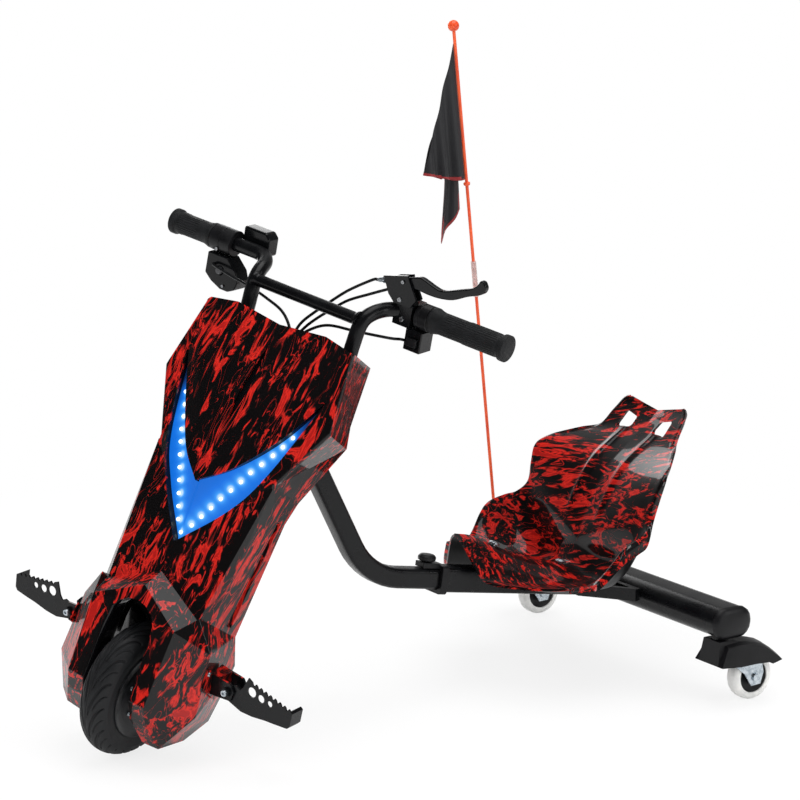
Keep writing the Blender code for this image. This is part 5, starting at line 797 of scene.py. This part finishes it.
# The cross tube's end, from its weld bead to the plain tube: radius and distance from the middle
BEAD_ROWS = mm((0, 97.2), (12.5, 97.2), (12.7, 95.5), (12, 93.5), (10.4, 91.5), (9.3, 89.8), (9.2, 88))


def tube(path, radius, sides):
    """A round tube along a path without twist, closed at both ends."""
    path = [Vector(p) for p in path]
    steps = [(b - a).normalized() for a, b in zip(path, path[1:])]
    ways = [steps[0]] + [(a + b).normalized() for a, b in zip(steps, steps[1:])] + [steps[-1]]
    side = ways[0].orthogonal().normalized()
    bm = bmesh.new()
    rings = []
    for index, point in enumerate(path):
        if index:
            side = ways[index - 1].rotation_difference(ways[index]) @ side
        rings.append(circle(bm, point, side, ways[index].cross(side), radius, sides))
    skin(bm, rings, ring=True)
    bm.faces.new(rings[0][::-1])
    bm.faces.new(rings[-1])
    return bm


for side, word in ((1, "left"), (-1, "right")):
    route = smooth_line([(side * x, y, z) for x, y, z in RISER_PATH], 6)
    bm = tube(route + [Vector((side * BAR_END, GRIP_Y, GRIP_Z))], BAR_RADIUS, 40)
    piece(f"riser_bar_{word}", bm, powder_coat, f"bar_{word}", sharp=40)
bm = lathe(BEAD_ROWS + [(r, -x) for r, x in BEAD_ROWS[::-1]], (0, CROSS_BAR_Y, CROSS_BAR_Z), (1, 0, 0), 40)
piece("cross_bar", bm, powder_coat, "crossbar", sharp=40)

# Grips.
# Moulded rubber over each bar end, with long ribs, a flange at both ends and a leaf-shaped smooth patch.
# The left grip is held by a clamp ring, and the right one twists and is the throttle.

GRIP_END, GRIP_RADIUS, FLANGE_RADIUS, FLANGE_END, RIBS_START = 0.310, 0.0167, 0.0195, 0.0052, 0.016
RIBS, RIB_HEIGHT, RIM_HEIGHT = 30, 0.0007, 0.0005
# The smooth patches: degrees round the grip, then the middle and the half length and width of each leaf
LEAF_TURNS, LEAF_MIDDLE, LEAF_LONG, LEAF_WIDE = (75, 255), 0.041, 0.026, 0.0085


def grip_radius(along, body_end):
    """A grip's radius without its ribs at a distance from its inner end."""
    if along < 0.0001:
        return 0.0190
    if along <= FLANGE_END:
        return FLANGE_RADIUS
    if along <= RIBS_START:
        return FLANGE_RADIUS - 0.0028 * ((along - FLANGE_END) / 0.0108) ** 0.7
    if along <= body_end:
        return GRIP_RADIUS
    if along < body_end + 0.0035:
        return 0.0165 + 0.0028 * (along - body_end) / 0.0030
    return FLANGE_RADIUS if along < body_end + 0.0108 else 0.0185


def grip_shape(inner, side, around=180, steps=70):
    """A ribbed grip round the bar's axis from its inner flange to its closed end."""
    body_end = GRIP_END - 0.011 - inner
    stations = [0.0, 0.0006, 0.005, 0.0064, 0.0085, 0.012, RIBS_START]
    stations += [RIBS_START + (body_end - RIBS_START) * k / steps for k in range(1, steps + 1)]
    stations += [body_end + d for d in (0.0012, 0.0030, 0.0042, 0.0095, 0.0105, 0.0110)]
    rings = []
    bm = bmesh.new()
    for along in stations:
        base = grip_radius(along, body_end)
        ribbed = max(0.0, min(1.0, (along - 0.024) / 0.006, (body_end - 0.003 - along) / 0.003))
        ring = []
        for a in [2 * math.pi * k / around for k in range(around)]:
            leaf = 0.0
            for middle in LEAF_TURNS:
                turn = (a - math.radians(middle) + math.pi) % (2 * math.pi) - math.pi
                across, run = turn * GRIP_RADIUS / LEAF_WIDE, (along - LEAF_MIDDLE) / LEAF_LONG
                leaf = max(leaf, 1 - (across * across + run * run * (1 + 0.5 * run)))
            ridge = (0.5 + 0.5 * math.cos(RIBS * a)) ** 0.6 - 0.6
            rim = math.exp(-((leaf - 0.02) / 0.07) ** 2)
            radius = base + ribbed * (1 - min(1.0, leaf / 0.12)) * RIB_HEIGHT * ridge
            radius += RIM_HEIGHT * rim * min(1.0, ribbed + 0.3)
            ring.append(bm.verts.new((
                side * (inner + along), GRIP_Y + radius * math.cos(a), GRIP_Z + radius * math.sin(a))))
        rings.append(ring)
    skin(bm, rings, ring=True)
    for ring in (rings[0], rings[-1]):
        bm.faces.new(ring)
    return bm


# Moulded rubber: matt charcoal with a fine pebble from the mould.
grip_rubber = coated("grip_rubber", "121314", "191a1c", 0.60, 15, 0.6, 0.5, shine=0.25)
piece("ribbed_grip_left", grip_shape(0.1800, 1), grip_rubber, "left_grip", sharp=50)
piece("ribbed_grip_right", grip_shape(0.2285, -1), grip_rubber, "throttle_grip", sharp=50)
# Two rings with a shallow groove between them: radius and distance along the bar
CLAMP_RING = mm((11.3, 157.7), (18.6, 157.7), (19.4, 158.5), (19.4, 164), (18.5, 164.6), (18.5, 165.4),
                (19.4, 166), (19.4, 178.2), (18.6, 179.3), (11.3, 179.3))
bm = lathe(CLAMP_RING, (0, GRIP_Y, GRIP_Z), (1, 0, 0), 64)
piece("clamp_ring", bm, black_abs, "grip_collar", sharp=30)

# Brake lever.
# A die-cast bracket clamped on the left bar, painted black, with a curved lever on a pin and a zinc cable
# adjuster. The lever pulls toward the grip.

LEVER_Y, LEVER_HALF = 0.322, 0.005
# The lever's outline, x and z: the outer curve from the pin to the tip, then back, with the first and last
# point at the pin
LEVER_OUTLINE = mm(
    (122.5, 715.5), (140, 720.5), (158, 726), (170, 724), (185, 720), (199, 719), (225, 729), (244, 737),
    (253, 745), (257, 753), (263, 753), (268, 745), (266, 737), (258, 731), (240, 723), (218, 711),
    (196, 706), (176, 705), (158, 706), (140, 705), (125, 705))


def plate(outline, low, high):
    """Extrude a flat outline of x and z along Y."""
    bm = bmesh.new()
    rings = [[bm.verts.new((x, depth, z)) for x, z in outline] for depth in (low, high)]
    skin(bm, rings, ring=True)
    bm.faces.new(rings[0][::-1])
    bm.faces.new(rings[1])
    return bm


# Painted die casting: gloss black with a thin soft orange peel.
gloss_paint = coated("gloss_black_paint", "08090a", "0d0e10", 0.20, 30, 2.0, 0.22, 0.05, shine=0.3)
curves = [[(p.x, p.z) for p in smooth_line([(x, 0, z) for x, z in part], 4)]
          for part in (LEVER_OUTLINE[1:10], LEVER_OUTLINE[10:20])]
outline = [LEVER_OUTLINE[0], *curves[0], *curves[1], LEVER_OUTLINE[20]]
lever = piece("lever_blade", plate(outline, LEVER_Y - LEVER_HALF, LEVER_Y + LEVER_HALF), gloss_paint,
              "brake_lever", sharp=30, slot="gloss_black_plastic")
rounded(lever, 0.0034, 4, 30)
softened("lever_bracket", "brake_bracket", gloss_paint, 0.0010, 3, slot="gloss_black_plastic")
CABLE_WAY, BARREL_END = Vector((0.0195, 0, 0.0065)).normalized(), Vector((0.1015, LEVER_Y, 0.7040))
# A ferrule, a knurled barrel and a lock ring: radius and distance toward the lever
BARREL = mm((0, 0.2), (2.6, 0.2), (2.8, 2), (3.6, 2.4), (3.6, 8.8), (3, 9.2), (3, 10.4), (5.2, 10.8),
            (5.2, 13.8), (3.4, 14.2), (3.4, 16.8), (0, 16.8))
bm = lathe(BARREL, BARREL_END - CABLE_WAY * 0.0170, CABLE_WAY, 24)
piece("adjuster_barrel", bm, zinc_steel, "cable_adjuster", sharp=25)
repeated("bracket_screws", screw_shape(0.0034, 0.0016, "cross"), [
    ((0.1330, LEVER_Y - 0.0092, 0.6850), (0, -1, 0), 1.0), ((0.1380, 0.3188, 0.6560), (0, -1, 0), 1.1),
    ((0.1340, LEVER_Y - 0.0100, 0.7120), (0, -1, 0), 0.8), ((0.1480, 0.3190, 0.6960), (0, -1, 0), 0.7)],
    cast_alloy)

# Switch box and key.
# A small moulded box hangs under the left clamp ring with a rocker key in its front face. Its lead leaves
# toward the middle.

softened("switch_case", "switch_box", gloss_paint, 0.0016, 3)
softened("rocker_key", "switch_key", black_abs, 0.0008, 3)

# Throttle housing, gauge and horn pod.
# Two moulded halves clamp the right bar beside the twist grip. A charge gauge stands behind the bar, and a
# rounded pod below it holds the horn's button.

# Two rings with a shallow groove between them: radius and distance along the bar
THROTTLE_RING = mm((11.4, -187.7), (19.2, -187.7), (20, -188.5), (20, -207), (19.4, -207.4), (19.4, -208.2),
                   (20, -208.6), (20, -227), (19.2, -227.8), (11.4, -227.8))
bm = lathe(THROTTLE_RING, (0, GRIP_Y, GRIP_Z), (1, 0, 0), 64)
piece("throttle_drum", bm, black_abs, "throttle_housing", sharp=30)
softened("gauge_case", "gauge_box", gloss_paint, 0.0032, 4)
softened("horn_case", "horn_pod", gloss_paint, 0.0018, 4)
# Moulded grey ABS: mid grey and slightly shiny.
pale_abs = coated("grey_abs", "3a3b3d", "48494c", 0.35, 10, 0.5, 0.2)
softened("horn_cap", "horn_button", pale_abs, 0.0018, 4)
repeated("pod_screws", screw_shape(0.0028, 0.0014, "cross"), [
    ((-0.2110, 0.3190, 0.6530), (0, -1, 0), 1.0), ((-0.1480, 0.3480, 0.6680), (0, -1, 0.1), 0.9),
    ((-0.1900, 0.3188, 0.6000), (0, -1, 0), 0.8)], cast_alloy)

# Leads.
# Four round PVC leads, 4.4 mm across, run from the controls over the cross bar and down through one hole in
# the deck cover. The brake cable starts in the adjuster's barrel.

HOLE_X, HOLE_Y, LEAD_RADIUS = -0.004, 0.262, 0.0022
LEADS = {
    "brake_cable": [
        (0.0844, 0.3220, 0.6984), (0.0760, 0.3212, 0.6955), (0.0460, 0.3100, 0.6720),
        (0.0260, 0.2970, 0.6500), (0.0110, 0.2830, 0.6310), (-0.0010, 0.2700, 0.6120),
        (HOLE_X, HOLE_Y - 0.005, 0.5900), (HOLE_X, HOLE_Y - 0.005, 0.5780)],
    "cutoff_lead": [
        (0.1089, 0.3235, 0.6926), (0.1015, 0.3232, 0.6886), (0.0780, 0.3160, 0.6750),
        (0.0500, 0.3060, 0.6580), (0.0300, 0.2970, 0.6390), (0.0160, 0.2880, 0.6240),
        (0.0040, 0.2780, 0.6080), (HOLE_X, HOLE_Y + 0.005, 0.5900), (HOLE_X, HOLE_Y + 0.005, 0.5780)],
    "switch_lead": [
        (0.1452, 0.3330, 0.6220), (0.1350, 0.3300, 0.6220), (0.1250, 0.3160, 0.6230),
        (0.0810, 0.2960, 0.6220), (0.0360, 0.2880, 0.6180), (0.0130, 0.2760, 0.6060),
        (HOLE_X + 0.005, HOLE_Y, 0.5900), (HOLE_X + 0.005, HOLE_Y, 0.5780)],
    "throttle_lead": [
        (-0.2100, 0.3194, 0.6300), (-0.2060, 0.3120, 0.6300), (-0.1670, 0.3060, 0.6260),
        (-0.1200, 0.2980, 0.6240), (-0.0810, 0.2900, 0.6200), (-0.0460, 0.2790, 0.6160),
        (-0.0230, 0.2690, 0.6060), (HOLE_X - 0.005, HOLE_Y, 0.5900), (HOLE_X - 0.005, HOLE_Y, 0.5780)],
}
# Extruded PVC: dark, with a soft continuous highlight.
lead_pvc = coated("lead_pvc", "0c0d0e", "121315", 0.36, 20, 1.0, 0.2, shine=0.3)
for name, route in LEADS.items():
    points = [FRONT @ p for p in smooth_line(route, 8)]
    made = piece(f"{name}_jacket", tube(points, LEAD_RADIUS, 16), lead_pvc, name, Matrix(), 40)

# Frame rails, collar and clamp.
# A square steel tube rises to the steering head and slides in an outer tube, so the kart's length adjusts.
# A plastic collar and a knob hold it, and both tubes are powder coated.

softened("inner_rail", "front_rail", powder_coat, 0.0004)
softened("outer_rail", "rear_rail", powder_coat, 0.0005)
softened("rail_end_collar", "rail_collar", black_abs, 0.0009, 3)
softened("clamp_handle", "clamp_knob", black_abs, 0.0008, 3)

# Cross tube.
# A flat oval steel tube welded across the rail's end, with two gussets. Rubbery caps close its ends.

softened("rear_cross_tube", "cross_tube", powder_coat, 0.0006)
for word in ("left", "right"):
    softened(f"tube_cap_{word}", f"end_cap_{word}", black_abs, 0.0, sharp=60, slot="black_rubber")

# Casters.
# Pressed zinc-plated forks swivel under the tube's ends with white urethane wheels on black centres. A
# moulded black hood covers each one and turns with it.

# Cast polyurethane: milky white with a soft satin sheen.
urethane = coated("white_urethane", "dcdcda", "ecebe8", 0.35, 15, 0.8, 0.12)
feed(urethane.node_tree, urethane.node_tree.nodes["Principled BSDF"],
     {"Subsurface Weight": 0.15, "Subsurface Radius": (0.004, 0.004, 0.004)})
CASTER_X, CASTER_Y, CASTER_Z = 0.282, 0.930, 0.0375
# Half the wheel's section: the hub, the web, the black centre's rim and the round tread
CASTER_HALF = mm((4.8, 11.6), (9, 11.8), (10, 10), (11.5, 8.5), (24, 8.5), (25.8, 9.8), (26.2, 11.6),
                 (29, 11.9), (32.5, 11.5), (35.2, 10), (36.7, 7.2), (37.3, 3.5))
for side, word in ((1, "left"), (-1, "right")):
    centre = (side * CASTER_X, CASTER_Y, CASTER_Z)
    bm = lathe([(r, -x) for r, x in CASTER_HALF] + CASTER_HALF[::-1], centre, (1, 0, 0), 72)
    piece(f"caster_tyre_{word}", two_finishes(bm, centre, 0.0256), [urethane, black_abs],
          f"caster_wheel_{word}", KART, 40)
    softened(f"caster_plates_{word}", f"caster_fork_{word}", zinc_steel, 0.0006)
    softened(f"caster_cover_{word}", f"caster_hood_{word}", black_abs, 0.0022, 3, 58)

# Seat.
# One vacuum-formed ABS shell, 4 mm thick, with a raised middle, side wings, a backrest and two hand holes.
# It is printed like the cover and bolted to a steel bracket.

# From front to top, in millimetres: the middle's y and z, the rim's x, y and z, the floor's z, and how far
# the lip reaches on past the rim in x, y and z
SEAT_ROWS = mm(
    (567, 250, 171, 665, 187, 181, 2, -1, -7), (600, 242, 174, 690, 187, 176, 3, 0, -8),
    (641, 221.5, 177, 714, 190, 167, 4, 0, -9), (700, 194, 184, 740, 224, 161, 5, 0, -18),
    (745, 181.5, 184, 757, 241, 160, 6, 0, -22), (787, 172.5, 180, 785, 250, 162, 6, 0, -22),
    (800, 192, 173, 805, 255, 186, 6, 2, -18), (807, 222, 163, 820, 272, 222, 5, 6, -2),
    (822, 258, 166, 828, 303, 258, 4, 8, 0), (845, 300, 168, 837, 330, 300, 4, 8, 1),
    (868, 330, 158, 853, 344, 330, 2, 7, 3), (898, 354, 122, 892, 358, 354, 1, 5, 5),
    (922, 372, 97, 916, 369, 372, 3, 6, 2), (942, 387, 88, 937, 393, 387, 3, 5, 2),
    (954, 398, 82.5, 949, 407, 398, 2, 4, 3), (962, 405, 80, 957, 418.5, 405, 2, 3, 1))
PAN_ROWS, RIDGE_HALF, ROW_PIECES, COLUMN_PIECES = 7, 0.065, 8, 5
SEAT_COLUMNS = [0.0, 0.10, 0.20, 0.31, 0.43, 0.55, 0.67, 0.79, 0.90, 1.0]
# The top's corners are rounded by this radius, over the last of the fine rows, each so much lower than the
# next
CORNER_RADIUS, CORNER_ROWS, CORNER_STEP = 0.012, 9, 0.00132
# The backrest's two ribs: their height, their distance from the middle and their width
BACK_RIB, BACK_RIB_X, BACK_RIB_WIDE = 0.0042, 0.038, 0.006
grid = []
for index, (cy, cz, rx, ry, rz, floor_z, lx, ly, lz) in enumerate(SEAT_ROWS):
    row = []
    for share in SEAT_COLUMNS:
        x = rx * share
        ridge = math.cos(math.pi / 2 * min(1.0, x / RIDGE_HALF)) ** 2
        if index < PAN_ROWS:
            z = floor_z + (cz - floor_z) * ridge + (rz - floor_z) * max(0.0, (share - 0.55) / 0.45) ** 2
            y = cy + (ry - cy) * share ** 1.4
        else:
            z, y = cz + (rz - cz) * share, cy + (ry - cy) * share ** 2
        row.append((x, y, z))
    grid.append(row + [(rx + lx, ry + ly, rz + lz)])
columns = [smooth_line([row[k] for row in grid], ROW_PIECES) for k in range(len(grid[0]))]
dense = [smooth_line([column[k] for column in columns], COLUMN_PIECES) for k in range(len(columns[0]))]
for number, row in enumerate(dense[-CORNER_ROWS:]):
    above = CORNER_RADIUS - CORNER_STEP * (CORNER_ROWS - 1 - number)
    narrow = 1 - (CORNER_RADIUS - math.sqrt(CORNER_RADIUS ** 2 - above ** 2)) / 0.080
    for p in row:
        p.x *= narrow
bm = bmesh.new()
sheet = []
for number, row in enumerate(dense):
    back = number / ROW_PIECES
    fade = max(0.0, min(1.0, (back - 7.2) / 0.8, (13.2 - back) / 0.6))
    raised = []
    for p in row:
        rib = BACK_RIB * fade * math.exp(-((abs(p.x) - BACK_RIB_X) / BACK_RIB_WIDE) ** 2)
        raised.append(Vector((p.x, p.y - rib * 0.85, p.z + rib * 0.45)))
    left = [bm.verts.new((-p.x, p.y, p.z)) for p in raised[:0:-1]]
    sheet.append(left + [bm.verts.new(p) for p in raised])
skin(bm, sheet)
outward(bm, (0, 0, 1))
bm.transform(KART)
seat_paint = flame_lacquer("flame_printed_seat_abs", KART, (0.9, 0.3, 0.1), (0.10, 0.30, 0.05))
# Unprinted ABS on the back of the sheet: plain satin black.
seat_back = coated("satin_black_abs", "0b0b0c", "101012", 0.40, 40, 1.0, 0.2, shine=0.25)
seat = place_bmesh("seat_pan", bm, [seat_paint, seat_back])
walled(seat, 0.004, -1.0, use_even_offset=True, material_offset=1, material_offset_rim=0)
# Each hand hole's four corner centres, x and z in millimetres, and their radius
HOLE_CORNERS, HOLE_RADIUS = mm((56.5, 377.5), (55.5, 392.5), (33.5, 387.5), (32.5, 380.5)), 0.0045
cutters = []
for side in (1, -1):
    outline = []
    for (across, up), start in zip(HOLE_CORNERS, (270, 0, 90, 180)):
        for angle in [math.radians(start + 22.5 * turn) for turn in range(5)]:
            x, z = across + HOLE_RADIUS * math.cos(angle), up + HOLE_RADIUS * math.sin(angle)
            outline.append((side * x, z))
    bm = plate(outline, 0.88, 0.99)
    bmesh.ops.recalc_face_normals(bm, faces=bm.faces)
    bm.transform(KART)
    cutters.append(place_bmesh("hand_hole", bm))
    hole = seat.modifiers.new("hole", "BOOLEAN")
    hole.object, hole.solver = cutters[-1], "EXACT"
plain = baked(seat)
seat.modifiers.clear()
seat.data = plain
for cutter in cutters:
    bpy.data.objects.remove(cutter, do_unlink=True)
shade(seat.data, 40)
rounded(dress(seat, "seat_shell"), 0.0009, 2, 55)
softened("seat_stand", "seat_bracket", powder_coat, 0.0)
for word in ("front", "rear"):
    softened(f"seat_screw_{word}", f"seat_bolt_{word}", zinc_steel, 0.0004)

# Flag.
# An orange fibreglass pole in two halves stands in a socket on the cross tube, with a clear sleeve at the
# joint and a ball on top. A black polyester pennant with a red bound edge hangs from it.

FLAG_X, FLAG_LEAN, FLAG_FOOT_Z, POLE_FOOT, POLE_TOP = -0.276, 0.1115, 0.132, 0.1223, 1.012
POLE_RADIUS, RING_RADIUS, BALL_RADIUS, PENNANT_EDGE = 0.0027, 0.0055, 0.0095, 0.222
# The cross tube's middle, its half depth, half the socket across the lean, and a gap
FLAG_FOOT_Y = 0.880 - 0.035 - 0.006 * math.hypot(1, FLAG_LEAN) - 0.0003


def flag_point(z, forward=0.0, x=0.0):
    """A point beside the pole at a height."""
    return Vector((FLAG_X + x, FLAG_FOOT_Y - FLAG_LEAN * (z - FLAG_FOOT_Z) - forward, z))


# Pultruded fibreglass: warm orange with long fibres just under a glossy skin.
fibreglass = coated("orange_fibreglass", "d8431c", "f0602c", 0.28, 6, 0.6, 0.3, 0.05, 0.0, (1.0, 1.0, 0.12))
# Extruded clear PVC: faintly pink where the pole shows through.
clear_pvc = coated("clear_pvc", "e8c8c2", "f2dcd8", 0.18, 10, 0.8, 0.1)
clear_pvc.node_tree.nodes["Principled BSDF"].inputs["Transmission Weight"].default_value = 0.55
softened("pole_socket", "flag_socket", powder_coat, 0.0005)
foot, tip = flag_point(POLE_FOOT), flag_point(POLE_TOP)
run = (tip - foot).normalized()
# A stop ring under the pennant: how far its ends lie below the pole's top
ring_low, ring_high, top = [(flag_point(POLE_TOP - drop) - foot).length for drop in (0.255, 0.249, 0.0)]
pole = [(0, 0), (POLE_RADIUS, 0), (POLE_RADIUS, ring_low), (0.0048, ring_low + 0.0003),
        (RING_RADIUS, ring_low + 0.0014), (RING_RADIUS, ring_high - 0.0014), (0.0048, ring_high - 0.0003),
        (POLE_RADIUS, ring_high), (POLE_RADIUS, top), (0, top)]
piece("pole_rod", lathe(pole, foot, run, 24), fibreglass, "flag_pole", KART)
softened("joint_sleeve", "flag_joiner", clear_pvc, 0.0004)
ball = [(BALL_RADIUS * math.sin(a), -BALL_RADIUS * math.cos(a)) for a in
        [math.radians(30 + 10 * k) for k in range(15)]]
bm = lathe([(0, -0.0064)] + ball + [(0, BALL_RADIUS)], flag_point(POLE_TOP + BALL_RADIUS * 0.7), run, 32)
piece("pole_ball", bm, fibreglass, "flag_ball", KART, 60)

# In millimetres for each fold's upper and lower edge: how far across the pole it lies, then forward of the
# pole's skin and the drop below the pole's top, and the same two for the lower edge
FLAG_FOLDS = mm(
    (0, 0, 22, 0, 245), (4.5, 13.4, 58, 13.4, 246), (-4, 26, 92, 26, 245), (5, 39.5, 128, 39.5, 242),
    (-3, 52, 162, 52, 240), (5, 64.8, 196, 64.8, 237), (0, 76.5, 226, 78, 235), (-8, 73, 219, 74, 234),
    (-12, 60, 186, 62, 236), (-15, 45, 164, 50, 240), (-12, 28, 158, 39, 244), (-16, 13, 155, 29, 248),
    (-14, 10, 153, 49, 347), (-18, 8, 150, 34.5, 330), (-12, 6, 146, 20, 313), (-14, 4, 142, 5.5, 295))
LAYERS, HEM, HEM_FOLD, BOUND_ENDS, CLOTH_GAP = 44, 0.0045, 62, (60, 61, 74, 75), 0.0006
# Woven polyester: dull near-black with a fine plain weave, drawn at 1.2 mm so that it shows, and a red
# binding.
polyester, tree, shader = surface("woven_polyester")
spread = add(tree, "UVMap", uv_map="cloth")
hem = add(tree, "Attribute", attribute_name="hem")
warp = add(tree, "TexWave", {"Vector": spread, "Scale": 130.0}, bands_direction="X")
weft = add(tree, "TexWave", {"Vector": spread, "Scale": 130.0}, bands_direction="Y")
weave = add(tree, "Math", {0: warp.outputs["Fac"], 1: weft.outputs["Fac"]}, operation="MULTIPLY")
dark = add(tree, "Mix", {"Factor": weave, "A": linear("0d0d11"), "B": linear("1a1a20")}, data_type="RGBA")
bound = add(tree, "Math", {0: hem.outputs["Fac"], 1: 0.5}, operation="GREATER_THAN")
cloth = add(tree, "Mix", {"Factor": bound, "A": dark.outputs["Result"], "B": linear("8c1a1c")},
            data_type="RGBA")
thread = add(tree, "Bump", {"Height": weave, "Strength": 0.25, "Distance": 0.0004})
feed(tree, shader, {"Base Color": cloth.outputs["Result"], "Roughness": 0.55, "Sheen Weight": 0.10,
                    "Normal": thread})
folds = [(*p, q.x, q.y) for p, q in zip(smooth_line([f[:3] for f in FLAG_FOLDS], 5),
                                        smooth_line([(*f[3:], 0) for f in FLAG_FOLDS], 5))]
bm = bmesh.new()
hem_layer = bm.verts.layers.float.new("hem")
uv_layer = bm.loops.layers.uv.new("cloth")
flat = {}
rows = []
reach = 0.0
for number, (across, forward, top, foot_forward, bottom) in enumerate(folds):
    if number:
        before = folds[number - 1]
        reach += math.hypot(0.5 * (forward + foot_forward - before[1] - before[3]), across - before[0])
    row = []
    for share in [k / LAYERS for k in range(LAYERS + 1)]:
        z = POLE_TOP - top - (bottom - top) * share
        out = POLE_RADIUS + CLOTH_GAP + forward + (foot_forward - forward) * share
        soft = 0.0012 * math.sin(number * 0.55) * share
        vert = bm.verts.new(flag_point(z, out, across * (0.45 + 0.55 * share) + soft))
        edge = min((1 - share) * (bottom - top), share * (bottom - top) if number > HEM_FOLD else 1.0)
        vert[hem_layer] = float(edge < HEM or (share > 0.8 and number in BOUND_ENDS))
        flat[vert] = (reach, z)
        row.append(vert)
    rows.append(row)
for face in skin(bm, rows):
    for loop in face.loops:
        loop[uv_layer].uv = flat[loop.vert]
pennant = piece("pennant", bm, polyester, "flag_cloth", KART, 70, closed=False)
walled(pennant, CLOTH_GAP)

# Footpegs.
# A plate bolted to each cheek carries a forked hinge, and a folded steel peg with teeth and three holes
# turns on a bolt. The plate is printed with the cover, the rest is powder coated.

bracket_paint = flame_lacquer("flame_printed_plate", FRONT, HOOD_FLOW, (0.9, 0.8, 0.12))
# Printed out to this x; the screws' y and z on the plate, and the hinge's x and z
PRINTED_X, PLATE_SCREWS, PEG_HINGE = 0.1400, ((0.0040, 0.1765), (0.0420, 0.1400)), (0.1518, 0.1562)


def meets(node, spot, way):
    """Where a line from a spot, in the front's own frame, meets a CAD piece, and the way it faces there."""
    mesh = frame["nodes"][node].data
    solid = BVHTree.FromPolygons([v.co for v in mesh.vertices], [p.vertices for p in mesh.polygons])
    hit, normal, _, _ = solid.ray_cast(FRONT @ Vector(spot), FRONT.to_3x3() @ Vector(way))
    back = FRONT.inverted()
    return back @ hit, back.to_3x3() @ normal


for side, word in ((1, "left"), (-1, "right")):
    bracket = f"peg_bracket_{word}"
    hanger = softened(f"peg_hanger_{word}", bracket, [powder_coat, bracket_paint], 0.0006)
    for face in hanger.data.polygons:
        face.material_index = int(abs((FRONT.inverted() @ face.center).x) < PRINTED_X)
    softened(f"peg_blade_{word}", f"footpeg_{word}", powder_coat, 0.0004)
    spots = [(*meets(bracket, (side * 0.3, y, z), (-side, 0, 0)), 1.0) for y, z in PLATE_SCREWS]
    spots.append((*meets(bracket, (side * PEG_HINGE[0], -0.2, PEG_HINGE[1]), (0, 1, 0)), 1.5))
    repeated(f"peg_screws_{word}", screw_shape(0.0032, 0.0024), spots, zinc_steel)
